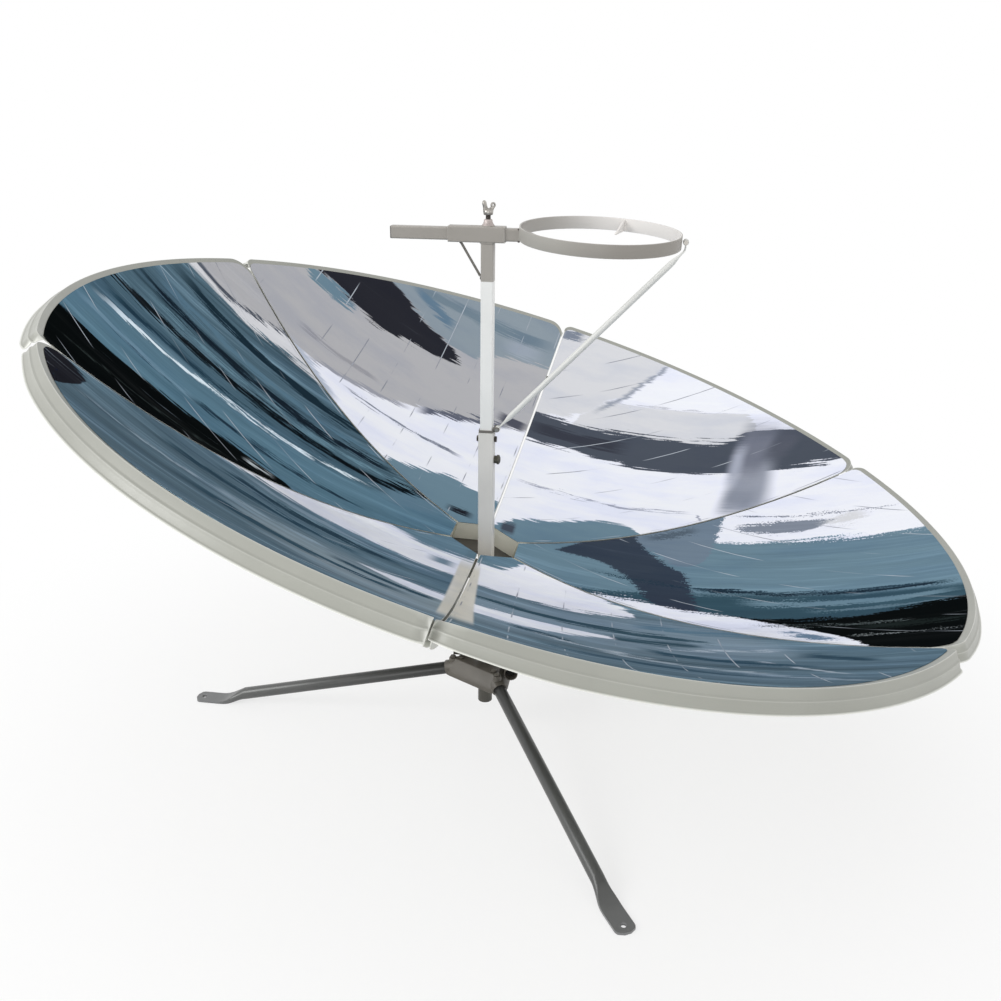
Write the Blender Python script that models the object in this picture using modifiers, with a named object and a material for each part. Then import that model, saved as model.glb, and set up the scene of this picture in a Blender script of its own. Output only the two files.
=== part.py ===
"""Parabolic solar cooker: six mirror-lined petals on a tilting centre frame, a telescopic column
with a sliding arm and pot ring, and a three-legged base. Metres, +Z up, the ground at z = 0."""
from math import asin, atan2, ceil, cos, degrees, hypot, pi, radians, sin, sqrt, tan

import bmesh
import bpy
from mathutils import Matrix, Vector

# Fits
GAP = 0.0003                 # between pieces that rest on each other
RUNNING = 0.0005             # around a tube or pin that slides or turns
BOLT_CLEARANCE = 0.0003      # around a bolt's shank
BOLT_HEAD = 0.85             # a head's radius over its bolt's diameter

# Dish
PETALS = 6
FOCAL_LENGTH = 0.5516
MIRROR_RADIUS = 0.720
HOLE_CORNER_RADIUS = 0.0656
SHEET = 0.001
FILM = 0.0005
RIM_BORDER = 0.0068          # bare sheet between the film and the crest
FILM_MARGIN = 0.0015         # bare sheet along a petal's sides
SEAM_GAP = 0.002
SKIRT_GAP = 0.0014
LEAD_CORNER = 0.035          # rounding at a petal's clockwise end, seen from above
TRAIL_CORNER = 0.015
SKIRT_STEPS = [              # (outwards, upwards), from the edge of the bowl to the lip
    (0.0020, 0.0015),        # crest
    (0.0070, -0.0098),       # upper wall
    (0.0032, -0.0011),       # ridge
    (0.0012, -0.0040),       # step
    (0.0040, -0.0066),       # lower wall
    (0.0033, -0.0012),       # lip
]
SKIRT_TRIM = 0.20            # share of the skirt that is missing at a petal's clockwise end
TRIM_LENGTH = 0.150          # from that end to the full skirt
SIDE_FLANGE = 0.034
INNER_FLANGE = 0.030
FOOT_WIDTH = 0.014
PETAL_COLUMNS = 10
PETAL_RINGS = 5
SEAM_BOLT_INSET = 0.12       # from the edge of the film
SEAM_BOLT_DEPTH = 0.018

# Tilt
DISH_TILT = radians(16.3)
AXLE_HEIGHT = 0.3164
AXLE_DEPTH = 0.045           # below the bottom of the bowl
AXLE_OFFSET = 0.016          # from the dish's axis, towards the side that leans down
AXLE_DIAMETER = 0.008
FRAME_PLATE = 0.004
FRAME_EDGE = 0.0162          # from the hole's flat to the plate's edge
EAR_THICKNESS = 0.003
EAR_RADIUS = 0.013
SLOT_LENGTH = 0.078

# Column and arm, square tubes
LOWER_TUBE = 0.025
UPPER_TUBE = 0.020
ARM_TUBE = 0.019
TUBE_WALL = 0.0016
LOWER_WALL = (LOWER_TUBE - UPPER_TUBE) / 2 - RUNNING
CORNER = 0.0022
LOWER_TOP = 0.5595
SLEEVE_BOTTOM = 0.8625
UPPER_INSERTED = 0.200
HEIGHT_TRAVEL = 0.120
CROSS_BOLT_DROP = 0.013      # below the top of the lower tube
CROSS_BOLT_DIAMETER = 0.006
CLAMP_DROP = 0.048
CLAMP_DIAMETER = 0.008
SLEEVE_WALL = 0.002
SLEEVE_BACK = -0.061
SLEEVE_FRONT = 0.027
ARM_BACK = -0.150
CAP_THICKNESS = 0.0015
CAP_PLUG = 0.010
CAP_INSET = 0.0002
GUSSET_DIAMETER = 0.004
GUSSET_SLEEVE_X = -0.043
GUSSET_DROP = 0.055
WING_BOLT_DIAMETER = 0.008
WELD_NUT_RADIUS = 0.0095
WELD_NUT_HEIGHT = 0.010

# Pot ring
RING_RADIUS = 0.1227
RING_BAND = 0.0025
RING_HEIGHT = 0.020
RING_RISE = 0.007            # of the ring's top over the arm's
RING_SAG = radians(2.3)      # down towards the outer end
RING_TWIST = radians(3.2)    # down towards -Y
RING_GAP = 0.022             # from the sleeve's end to the ring
POT_TAB_REACH = 0.043
POT_TAB_THICKNESS = 0.003
POT_TAB_ANGLES = (75, 195, 315)

# Brace
BRACE_WIDTH = 0.0100
BRACE_STRAP = 0.0025
BRACE_EYE = 0.0045
BRACE_BLEND = 0.022          # from the flat end to the round bar
BRACE_DROP = 0.002           # of the bend under the ring
BRACE_PLAY = 0.0007          # radial, at the lower pin
PIN_DIAMETER = 0.004
PIN_REACH = 0.0056           # from the ring's or the collar's face to the pin
PIN_EAR = 0.0040
PIN_EAR_THICKNESS = 0.0022
COLLAR_WALL = 0.0015
COLLAR_HEIGHT = 0.004

# Base
SPIGOT_CLEARANCE = 0.0003
SPIGOT_WALL = 0.002
SPIGOT_RISE = 0.095          # inside the column
HUB_TUBE_WALL = 0.002
HUB_TUBE_BOTTOM = 0.053
HUB_TUBE_TOP = 0.1400
WASHER_WIDTH = 0.0065
WASHER_THICKNESS = 0.006
HUB_TOP = 0.1330
HUB_BOTTOM = 0.1050
HUB_WALL = 0.0025
HUB_CORNER_REACH = 0.066
HUB_CORNER_RADIUS = 0.016
HUB_FLARE = 0.006
LEG_ANGLES = (180, 60, 300)
LEG_DIAMETER = 0.022
LEG_WALL = 0.0015
LEG_INNER_RADIUS = 0.038
LEG_ROOT_RADIUS = 0.062
LEG_ROOT_HEIGHT = 0.1130
LEG_REACH = 0.539            # to the foot's hole
FOOT_THICKNESS = 0.004
FOOT_PLATE_WIDTH = 0.032
FOOT_PLATE_LENGTH = 0.050
FOOT_HOLE_DIAMETER = 0.008
FOOT_END = 0.014             # past the hole
LEG_BOLT_RADIUS = 0.0585     # from the column's axis
HUB_BOLT_RADIUS = 0.0435
BOLT_DIAMETER = 0.006
SIDE_TUBE_DIAMETER = 0.024
SIDE_TUBE_WALL = 0.0015
SIDE_TUBE_LENGTH = 0.034
SIDE_TUBE_PLACE = (0.0496, -0.0231, 0.1312)
SIDE_TUBE_TURN = radians(-84)
PLATE_THICKNESS = 0.003      # of the upright plate on the hub
PLATE_LENGTH = 0.038
PLATE_HEIGHT = 0.036
PLATE_START = -0.0600
PLATE_ASIDE = 0.0118

# Derived places
TILT_SIN = sin(DISH_TILT)
TILT_COS = cos(DISH_TILT)
BOWL_EDGE = MIRROR_RADIUS + RIM_BORDER
HALF_PETAL = pi / PETALS
HOLE_APOTHEM = HOLE_CORNER_RADIUS * cos(HALF_PETAL)
LIP_RADIUS = BOWL_EDGE + sum(out for out, up in SKIRT_STEPS)
LIP_HEIGHT = BOWL_EDGE ** 2 / (4 * FOCAL_LENGTH) + sum(up for out, up in SKIRT_STEPS)
DISH_CENTRE_X = -AXLE_OFFSET * TILT_COS + (AXLE_DEPTH + LIP_HEIGHT) * TILT_SIN
PLATE_TOP = -INNER_FLANGE - GAP
SEAM_BOLT_RADIUS = MIRROR_RADIUS - SEAM_BOLT_INSET
CROSS_BOLT_HEIGHT = LOWER_TOP - CROSS_BOLT_DROP
CLAMP_HEIGHT = LOWER_TOP - CLAMP_DROP
SLEEVE_TUBE = ARM_TUBE + 2 * (RUNNING + SLEEVE_WALL)
SLEEVE_MIDDLE = SLEEVE_BOTTOM + SLEEVE_TUBE / 2
ARM_TOP = SLEEVE_MIDDLE + ARM_TUBE / 2
ARM_FRONT = SLEEVE_FRONT + RING_GAP
ARM_LENGTH = ARM_FRONT - RING_HEIGHT * sin(RING_SAG) - GAP - ARM_BACK
RING_TOP = ARM_TOP + RING_RISE
COLUMN_BOTTOM = HUB_TUBE_TOP + GAP + WASHER_THICKNESS + GAP
SPIGOT_DIAMETER = LOWER_TUBE - 2 * LOWER_WALL - 2 * SPIGOT_CLEARANCE
HUB_TUBE_DIAMETER = SPIGOT_DIAMETER + 2 * (RUNNING + HUB_TUBE_WALL)
COLLAR_INSIDE = UPPER_TUBE + 2 * RUNNING
COLLAR_BOTTOM = LOWER_TOP + GAP
FOOT_MIDDLE = FOOT_THICKNESS / 2
LEG_SLOPE = atan2(LEG_ROOT_HEIGHT - LEG_DIAMETER / 2, LEG_REACH - FOOT_PLATE_LENGTH - LEG_ROOT_RADIUS)

for old in list(bpy.data.objects):
    bpy.data.objects.remove(old)

PART = bpy.data.collections.new("solar_cooker")
CUTTERS = bpy.data.collections.new("cutters")
bpy.context.scene.collection.children.link(PART)
bpy.context.scene.collection.children.link(CUTTERS)


def material(name, colour, roughness, metallic):
    made = bpy.data.materials.new(name)
    made.use_nodes = True
    shader = made.node_tree.nodes["Principled BSDF"]
    shader.inputs["Base Color"].default_value = (*colour, 1)
    shader.inputs["Roughness"].default_value = roughness
    shader.inputs["Metallic"].default_value = metallic
    return made


# Placing and turning meshes into objects
def empty(name, parent=None, location=(0, 0, 0), rotation=(0, 0, 0)):
    made = bpy.data.objects.new(name, None)
    made.parent = parent
    made.location = location
    made.rotation_euler = rotation
    made.empty_display_size = 0.03
    PART.objects.link(made)
    return made


def placed(name, data, parent, location=(0, 0, 0), rotation=(0, 0, 0), collection=None):
    made = bpy.data.objects.new(name, data)
    made.parent = parent
    made.location = location
    made.rotation_euler = rotation
    (collection or PART).objects.link(made)
    return made


def finished(obj, colour, roughness, metallic, smooth_angle=35):
    """Freeze an object's modifiers into its mesh, give it its own material and shade it."""
    bpy.context.view_layer.update()
    view = bpy.context.evaluated_depsgraph_get()
    mesh = bpy.data.meshes.new_from_object(obj.evaluated_get(view), depsgraph=view)
    mesh.name = obj.name
    mesh.materials.clear()
    mesh.materials.append(material(obj.name, colour, roughness, metallic))
    mesh.shade_smooth()
    mesh.set_sharp_from_angle(angle=radians(smooth_angle))
    obj.modifiers.clear()
    obj.data = mesh
    return obj


def mesh_of(bm, name):
    mesh = bpy.data.meshes.new(name)
    bm.to_mesh(mesh)
    bm.free()
    return mesh


def frozen_curve(obj):
    """A mesh object with the curve's shape and place, its caps welded to its sides."""
    bpy.context.view_layer.update()
    view = bpy.context.evaluated_depsgraph_get()
    mesh = bpy.data.meshes.new_from_object(obj.evaluated_get(view), depsgraph=view)
    bm = bmesh.new()
    bm.from_mesh(mesh)
    bmesh.ops.remove_doubles(bm, verts=bm.verts, dist=1e-6)
    bmesh.ops.recalc_face_normals(bm, faces=bm.faces)
    bm.to_mesh(mesh)
    bm.free()
    name, parent = obj.name, obj.parent
    location, rotation = obj.location.copy(), obj.rotation_euler.copy()
    bpy.data.objects.remove(obj)
    return placed(name, mesh, parent, location, rotation)


def cut(obj, cutter, operation="DIFFERENCE"):
    """Cut an object with another, or join them with UNION; the other is kept as a hidden tool."""
    for home in list(cutter.users_collection):
        home.objects.unlink(cutter)
    CUTTERS.objects.link(cutter)
    cutter.hide_render = True
    cutter.display_type = "WIRE"
    modifier = obj.modifiers.new(cutter.name, "BOOLEAN")
    modifier.operation = operation
    modifier.object = cutter
    modifier.solver = "EXACT"


def joined(obj, other):
    cut(obj, other, "UNION")


# Forms
def rounded_square(width, radius, points=3):
    """The corners of a square outline, anticlockwise, each rounded with an arc."""
    if radius <= 0:
        radius, points = 0, 0
    centre = width / 2 - radius
    outline = []
    for quarter in range(4):
        middle = Vector((centre, centre)) if quarter == 0 else Matrix.Rotation(quarter * pi / 2, 2) @ Vector(
            (centre, centre))
        for step in range(points + 1):
            angle = quarter * pi / 2 + (pi / 2) * step / max(points, 1)
            outline.append((middle.x + radius * cos(angle), middle.y + radius * sin(angle)))
    return outline


def circle(radius, points=16, centre=(0, 0)):
    return [(centre[0] + radius * cos(2 * pi * i / points), centre[1] + radius * sin(2 * pi * i / points))
            for i in range(points)]


def outline_solid(name, loops, thickness, parent, location=(0, 0, 0), rotation=(0, 0, 0)):
    """A flat outline, with any holes, given a thickness along local Z about its middle."""
    curve = bpy.data.curves.new(name, "CURVE")
    curve.dimensions = "2D"
    curve.fill_mode = "BOTH"
    curve.extrude = thickness / 2
    for loop in loops:
        spline = curve.splines.new("POLY")
        spline.points.add(len(loop) - 1)
        for point, (x, y) in zip(spline.points, loop):
            point.co = (x, y, 0, 1)
        spline.use_cyclic_u = True
    return frozen_curve(placed(name, curve, parent, location, rotation))


def square_tube(name, width, wall, length, parent, location=(0, 0, 0), rotation=(0, 0, 0)):
    """A square tube along local Z, starting at its location."""
    loops = [rounded_square(width, CORNER), rounded_square(width - 2 * wall, 0)]
    obj = outline_solid(name, loops, length, parent, location, rotation)
    obj.data.transform(Matrix.Translation((0, 0, length / 2)))
    return obj


def rod(name, points, radius, parent, sides=2):
    """A round bar along a run of points."""
    curve = bpy.data.curves.new(name, "CURVE")
    curve.dimensions = "3D"
    curve.bevel_depth = radius
    curve.bevel_resolution = sides
    curve.use_fill_caps = True
    spline = curve.splines.new("POLY")
    spline.points.add(len(points) - 1)
    for point, place in zip(spline.points, points):
        point.co = (*place, 1)
    return frozen_curve(placed(name, curve, parent))


def turned(name, profile, parent, location=(0, 0, 0), rotation=(0, 0, 0), steps=16):
    """A profile of (radius, height) points, top to bottom down its outer side, turned about Z."""
    mesh = bpy.data.meshes.new(name)
    closed = profile[0][0] > 0
    edges = [(i, i + 1) for i in range(len(profile) - 1)]
    if closed:
        edges.append((len(profile) - 1, 0))
    mesh.from_pydata([(radius, 0, height) for radius, height in profile], edges, [])
    obj = placed(name, mesh, parent, location, rotation)
    screw = obj.modifiers.new("turn", "SCREW")
    screw.steps = steps
    screw.render_steps = steps
    screw.use_merge_vertices = True
    screw.merge_threshold = 1e-5
    return obj


def tube_profile(outer, inner, bottom, top):
    return [(inner, top), (outer, top), (outer, bottom), (inner, bottom)]


def cylinder(name, radius, length, parent, location=(0, 0, 0), rotation=(0, 0, 0), sides=16):
    """A cylinder along local Z about its middle."""
    bm = bmesh.new()
    bmesh.ops.create_cone(bm, cap_ends=True, segments=sides, radius1=radius, radius2=radius, depth=length)
    return placed(name, mesh_of(bm, name), parent, location, rotation)


def box(name, size, parent, location=(0, 0, 0), rotation=(0, 0, 0)):
    bm = bmesh.new()
    bmesh.ops.create_cube(bm, size=1)
    bmesh.ops.scale(bm, vec=size, verts=bm.verts)
    return placed(name, mesh_of(bm, name), parent, location, rotation)


def bolt(name, diameter, grip, parent, location=(0, 0, 0), rotation=(0, 0, 0), nut=True):
    """A hexagon bolt along local Z, its grip centred on its location, its head on top."""
    shank, head = diameter / 2, diameter * BOLT_HEAD
    tall, half = diameter * 0.6, grip / 2
    profile = [(0, half + tall), (head, half + tall), (head, half), (shank, half)]
    if nut:
        profile += [(shank, -half), (head, -half), (head, -half - tall), (0, -half - tall)]
    else:
        profile += [(shank, -half), (0, -half)]
    return turned(name, profile, parent, location, rotation, steps=6)


def along_x(sign=1):
    return (0, sign * pi / 2, 0)


def along_y(sign=1):
    return (-sign * pi / 2, 0, 0)


# Petals
def bowl_height(x, y):
    return (x * x + y * y) / (4 * FOCAL_LENGTH)


def corner_setback(radius, edge, corner):
    """How far a rounded corner has drawn the side back at this radius."""
    into = radius - (edge - corner)
    return corner - sqrt(max(corner * corner - into * into, 0)) if into > 0 else 0


def side_angle(radius, edge, corner, inset):
    """The azimuth of a petal's side at this radius, from the petal's middle."""
    setback = inset + corner_setback(radius, edge, corner)
    return HALF_PETAL - asin(inset / radius) - (setback - inset) / radius


def ring_radii():
    """Radii of the rings of points, from the first after the hole to the edge of the bowl."""
    first_corner = BOWL_EDGE - LEAD_CORNER
    start = HOLE_CORNER_RADIUS * 1.6
    plain = [start + (first_corner - start) * i / PETAL_RINGS for i in range(PETAL_RINGS + 1)]
    return plain + [BOWL_EDGE - LEAD_CORNER * 0.58, MIRROR_RADIUS, BOWL_EDGE]


def row_points(radius):
    """One ring of a petal's points: the sheet's side, the film's side, and even steps between."""
    half_gap = SEAM_GAP / 2
    if radius is None:
        reach = HOLE_APOTHEM
        sheet = (reach * sin(HALF_PETAL) - half_gap) / cos(HALF_PETAL)
        film = sheet - FILM_MARGIN / cos(HALF_PETAL)
        sides = [-film + 2 * film * i / PETAL_COLUMNS for i in range(PETAL_COLUMNS + 1)]
        return [(reach, y) for y in [-sheet] + sides + [sheet]]
    ends = []
    for corner in (LEAD_CORNER, TRAIL_CORNER):
        sheet = side_angle(radius, BOWL_EDGE, corner, half_gap)
        film_corner = corner - FILM_MARGIN
        film = side_angle(min(radius, MIRROR_RADIUS), MIRROR_RADIUS, film_corner, half_gap + FILM_MARGIN)
        ends.append((sheet, min(film, sheet - 2 * FILM_MARGIN / radius)))
    (lead, film_lead), (trail, film_trail) = ends
    span = film_lead + film_trail
    inner = [-film_lead + span * i / PETAL_COLUMNS for i in range(PETAL_COLUMNS + 1)]
    return [(radius * cos(angle), radius * sin(angle)) for angle in [-lead] + inner + [trail]]


def extruded(bm, chain, place):
    """Extrude a chain of edges; place(index, old point) gives where each new point goes."""
    edges = [bm.edges.get(pair) for pair in zip(chain, chain[1:])]
    grown = bmesh.ops.extrude_edge_only(bm, edges=edges)["geom"]
    fresh = {item for item in grown if isinstance(item, bmesh.types.BMVert)}
    row = []
    for old in chain:
        row.append(next(edge.other_vert(old) for edge in old.link_edges if edge.other_vert(old) in fresh))
    for index, (new, old) in enumerate(zip(row, chain)):
        new.co = place(index, old.co)
    return row


def bowl_rows(bm, rows, lift=0.0):
    """Grow the bowl's surface ring by ring, lifted off the sheet along its normal."""
    def point(x, y):
        normal = Vector((-x, -y, 2 * FOCAL_LENGTH)).normalized()
        return Vector((x, y, bowl_height(x, y))) + normal * lift

    chain = [bm.verts.new(point(x, y)) for x, y in rows[0]]
    for pair in zip(chain, chain[1:]):
        bm.edges.new(pair)
    grid = [chain]
    for row in rows[1:]:
        grid.append(extruded(bm, grid[-1], lambda i, old, row=row: point(*row[i])))
    return grid


def upwards(bm):
    """Face the open surface up, judged by the bowl's first face."""
    bmesh.ops.recalc_face_normals(bm, faces=bm.faces)
    bm.faces.ensure_lookup_table()
    if bm.faces[0].normal.z < 0:
        bmesh.ops.reverse_faces(bm, faces=bm.faces)


def outward_normals(points):
    """In-plane normals of an outline that runs anticlockwise, for all but its two end points."""
    normals = []
    for before, after in zip(points, points[2:]):
        run = after - before
        normals.append(Vector((run.y, -run.x, 0)).normalized())
    return normals


def skirt_share(distance):
    """The skirt's size over its full size, this far from the petal's clockwise end."""
    t = min(distance / TRIM_LENGTH, 1)
    return 1 - SKIRT_TRIM * (1 - t * t * (3 - 2 * t))


def add_skirt(bm, grid, radii):
    """Sweep the skirt's steps round the rim and its corners, and cut it at the seams."""
    def start(corner):
        return next(i for i, radius in enumerate(radii) if radius > BOWL_EDGE - corner + 1e-6)

    lead_rows = grid[start(LEAD_CORNER):]
    trail_rows = grid[start(TRAIL_CORNER):]
    outline = [row[0] for row in lead_rows] + grid[-1][1:-1] + [row[-1] for row in reversed(trail_rows)]
    before = grid[start(LEAD_CORNER) - 1][0].co
    after = grid[start(TRAIL_CORNER) - 1][-1].co
    normals = outward_normals([before] + [vert.co.copy() for vert in outline] + [after])
    first = outline[0].co.copy()
    shares = [skirt_share((vert.co - first).length) for vert in outline]
    steps = [[(normals[i] * out + Vector((0, 0, up))) * shares[i] for i in range(len(outline))]
             for out, up in SKIRT_STEPS]
    chain = outline
    old_faces = set(bm.faces)
    for step in steps:
        chain = extruded(bm, chain, lambda i, old, step=step: old + step[i])
    skirt = [face for face in bm.faces if face not in old_faces]
    for side in (-1, 1):
        normal = Vector((-sin(HALF_PETAL), side * cos(HALF_PETAL), 0))
        parts = {item for face in skirt if face.is_valid for item in (face, *face.edges, *face.verts)}
        bmesh.ops.bisect_plane(bm, geom=list(parts), dist=1e-7, plane_co=normal * (-SKIRT_GAP / 2),
                               plane_no=normal, clear_outer=True)
        skirt = [face for face in bm.faces if face not in old_faces]


def add_flanges(bm, grid, radii):
    """Turn the inner edge and both sides down, and the inner flange's foot outwards."""
    down = Vector((0, 0, -SIDE_FLANGE))
    lead_end = next(i for i, radius in enumerate(radii) if radius >= BOWL_EDGE - LEAD_CORNER - 1e-6)
    trail_end = next(i for i, radius in enumerate(radii) if radius > BOWL_EDGE - TRAIL_CORNER) - 1
    inner = grid[0]
    ring = [row[0] for row in reversed(grid[1:lead_end + 1])] + inner + [row[-1] for row in grid[1:trail_end + 1]]

    def turned_down(index, old):
        if index in flat:
            return Vector((old.x, old.y, -INNER_FLANGE))
        return old + down

    flat = set(range(lead_end, lead_end + len(inner)))
    bottom = extruded(bm, ring, turned_down)
    foot = bottom[lead_end:lead_end + len(inner)]
    extruded(bm, foot, lambda i, old: old + Vector((FOOT_WIDTH, 0, 0)))


def solidify(obj, thickness, offset):
    modifier = obj.modifiers.new("sheet", "SOLIDIFY")
    modifier.thickness = thickness
    modifier.offset = offset
    modifier.use_even_offset = True


def petal_meshes(dish):
    """The one sheet and the one film that all the petals share."""
    radii = [None] + ring_radii()
    rows = [row_points(radius) for radius in radii]
    known = [HOLE_APOTHEM] + radii[1:]

    bm = bmesh.new()
    grid = bowl_rows(bm, rows)
    add_skirt(bm, grid, known)
    add_flanges(bm, grid, known)
    upwards(bm)
    sheet = placed("petal", mesh_of(bm, "petal"), dish)
    solidify(sheet, SHEET, -1)
    bolt_z = bowl_height(SEAM_BOLT_RADIUS, 0) - SEAM_BOLT_DEPTH
    for side in (-1, 1):
        turn = side * HALF_PETAL
        place = (SEAM_BOLT_RADIUS * cos(turn), SEAM_BOLT_RADIUS * sin(turn), bolt_z)
        hole = cylinder("seam_hole", BOLT_DIAMETER / 2 + BOLT_CLEARANCE, 0.012, dish, place, (pi / 2, 0, turn), 8)
        cut(sheet, hole)
    hole = cylinder("foot_hole", BOLT_DIAMETER / 2 + BOLT_CLEARANCE, 0.012, dish,
                    (HOLE_APOTHEM + FOOT_WIDTH / 2, 0, -INNER_FLANGE), sides=8)
    cut(sheet, hole)

    bm = bmesh.new()
    bowl_rows(bm, [row[1:-1] for row in rows[:-1]], GAP)
    upwards(bm)
    film = placed("film", mesh_of(bm, "film"), dish)
    solidify(film, FILM, 1)
    return sheet, film


def make_petals(dish):
    sheet, film = petal_meshes(dish)
    finished(sheet, (0.56, 0.55, 0.49), 0.42, 0.0)
    finished(film, (0.82, 0.84, 0.87), 0.06, 1.0)
    bolt_z = bowl_height(SEAM_BOLT_RADIUS, 0) - SEAM_BOLT_DEPTH
    for number in range(PETALS):
        turn = 2 * HALF_PETAL * number
        seam = turn + HALF_PETAL
        for source, name in ((sheet, "petal"), (film, "mirror_film")):
            data = source.data.copy()
            own = source.data.materials[0].copy()
            own.name = f"{name}_{number + 1}"
            data.materials[0] = own
            placed(f"{name}_{number + 1}", data, dish, rotation=(0, 0, turn))
        place = (SEAM_BOLT_RADIUS * cos(seam), SEAM_BOLT_RADIUS * sin(seam), bolt_z)
        grip = SEAM_GAP + 2 * SHEET + 2 * GAP
        seam_bolt = bolt(f"seam_bolt_{number + 1}", BOLT_DIAMETER, grip, dish, place, (pi / 2, 0, seam))
        finished(seam_bolt, (0.55, 0.55, 0.53), 0.35, 1.0)
        grip = SHEET + FRAME_PLATE + 3 * GAP
        reach = HOLE_APOTHEM + FOOT_WIDTH / 2
        place = (reach * cos(turn), reach * sin(turn), PLATE_TOP - FRAME_PLATE - GAP + grip / 2)
        foot_bolt = bolt(f"petal_foot_bolt_{number + 1}", BOLT_DIAMETER, grip, dish, place, (0, 0, turn))
        finished(foot_bolt, (0.55, 0.55, 0.53), 0.35, 1.0)
    for source in (sheet, film):
        bpy.data.objects.remove(source)


# Centre frame and tilt axle
def make_centre_frame(dish):
    edge = (HOLE_APOTHEM + FRAME_EDGE) / cos(HALF_PETAL)
    outline = [(edge * cos((2 * i + 1) * HALF_PETAL), edge * sin((2 * i + 1) * HALF_PETAL)) for i in range(PETALS)]
    half = LOWER_TUBE / 2 + RUNNING
    start, stop = AXLE_OFFSET - SLOT_LENGTH / 2, AXLE_OFFSET + SLOT_LENGTH / 2
    slot = [(start, -half), (stop, -half), (stop, half), (start, half)]
    holes = []
    for number in range(PETALS):
        turn, reach = 2 * HALF_PETAL * number, HOLE_APOTHEM + FOOT_WIDTH / 2
        holes.append(circle(BOLT_DIAMETER / 2 + BOLT_CLEARANCE, 8, (reach * cos(turn), reach * sin(turn))))
    frame = outline_solid("centre_frame", [outline, slot] + holes, FRAME_PLATE, dish,
                          (0, 0, PLATE_TOP - FRAME_PLATE / 2))
    drop = AXLE_DEPTH + PLATE_TOP - FRAME_PLATE / 2
    arc = [(EAR_RADIUS * cos(angle), EAR_RADIUS * sin(angle))
           for angle in [pi + pi * i / 10 for i in range(11)]]
    ear = arc + [(EAR_RADIUS, drop), (-EAR_RADIUS, drop)]
    bore = circle(AXLE_DIAMETER / 2 + RUNNING, 12)
    for side, name in ((-1, "front"), (1, "back")):
        middle = side * (half + EAR_THICKNESS / 2)
        piece = outline_solid(f"ear_{name}", [ear, bore], EAR_THICKNESS, dish,
                              (AXLE_OFFSET, middle, -AXLE_DEPTH), (pi / 2, 0, 0))
        joined(frame, piece)
    finished(frame, (0.40, 0.39, 0.35), 0.5, 0.0)


def wing(name, reach, height, thickness, parent, location, rotation=(0, 0, 0)):
    """A pair of thumb wings in local XZ, rising outwards from the middle."""
    tip = height * 0.36
    outline = [(0, 0), (reach - tip, height * 0.30)]
    outline += [(reach - tip + tip * cos(a), height - tip + tip * sin(a))
                for a in [-pi / 3 + pi * i / 6 for i in range(7)]]
    outline += [(0, height * 0.42)]
    loop = outline + [(-x, z) for x, z in reversed(outline[1:-1])]
    piece = outline_solid(name, [loop], thickness, parent, location)
    piece.data.transform(Matrix.Rotation(pi / 2, 4, "X"))
    piece.rotation_euler = rotation
    return piece


def make_tilt_axle(axle):
    """A bolt through the ears and the column; the wing nut that clamps it is on the -Y side."""
    side = LOWER_TUBE / 2 + RUNNING + EAR_THICKNESS + GAP
    head, tall, past = AXLE_DIAMETER * 0.85, AXLE_DIAMETER * 0.6, 0.016
    shank = AXLE_DIAMETER / 2
    profile = [(0, side + tall), (head, side + tall), (head, side), (shank, side), (shank, -side - past),
               (0, -side - past)]
    made = turned("tilt_axle", profile, axle, rotation=along_y(), steps=12)
    finished(made, (0.55, 0.55, 0.53), 0.35, 1.0)
    nut = turned("tilt_wing_nut", tube_profile(head, shank + RUNNING, -0.009, 0), axle, (0, -side - GAP, 0),
                 along_y(), steps=12)
    ears = wing("tilt_wings", 0.022, 0.013, 0.0024, axle, (0, -side - GAP - 0.003, 0), (pi / 2, 0, 0))
    joined(nut, ears)
    clear = cylinder("tilt_wing_bore", shank + RUNNING, 0.06, axle, (0, -side - past, 0), along_y(), 12)
    cut(nut, clear)
    finished(nut, (0.50, 0.50, 0.48), 0.35, 1.0)


# Column, sleeve and arm
def make_lower_column(column):
    tube = square_tube("lower_column", LOWER_TUBE, LOWER_WALL, LOWER_TOP - COLUMN_BOTTOM, column,
                       (0, 0, COLUMN_BOTTOM))
    cut(tube, cylinder("axle_bore", AXLE_DIAMETER / 2 + RUNNING, 0.05, column, (0, 0, AXLE_HEIGHT), along_y(), 12))
    cut(tube, cylinder("cross_bore", CROSS_BOLT_DIAMETER / 2 + BOLT_CLEARANCE, 0.05, column,
                       (0, 0, CROSS_BOLT_HEIGHT), along_x(), 12))
    cut(tube, cylinder("clamp_bore", CLAMP_DIAMETER / 2 + BOLT_CLEARANCE, LOWER_TUBE / 2, column,
                       (LOWER_TUBE / 2, 0, CLAMP_HEIGHT), along_x(), 12))
    finished(tube, (0.55, 0.54, 0.49), 0.4, 0.0)
    cross = bolt("cross_bolt", CROSS_BOLT_DIAMETER, LOWER_TUBE + 2 * GAP, column, (0, 0, CROSS_BOLT_HEIGHT),
                 along_x())
    finished(cross, (0.30, 0.30, 0.30), 0.4, 1.0)


def make_clamp_screw(clamp):
    """A thumb screw whose wide tip bears on both edges of the upper tube's slot."""
    tip = UPPER_TUBE / 2 + GAP
    outside = LOWER_TUBE / 2 + GAP
    shank, head = CLAMP_DIAMETER / 2, 0.008
    nut = outside + 0.004
    profile = [(0, nut + 0.006), (0.004, nut + 0.006), (head, nut + 0.004), (head, nut + 0.0005),
               (shank * 1.3, nut), (0.0066, nut - 0.0005), (0.0066, outside), (shank, outside), (shank, tip),
               (0, tip)]
    screw = turned("clamp_screw", profile, clamp, rotation=along_x(), steps=12)
    finished(screw, (0.42, 0.42, 0.40), 0.4, 1.0)


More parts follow.
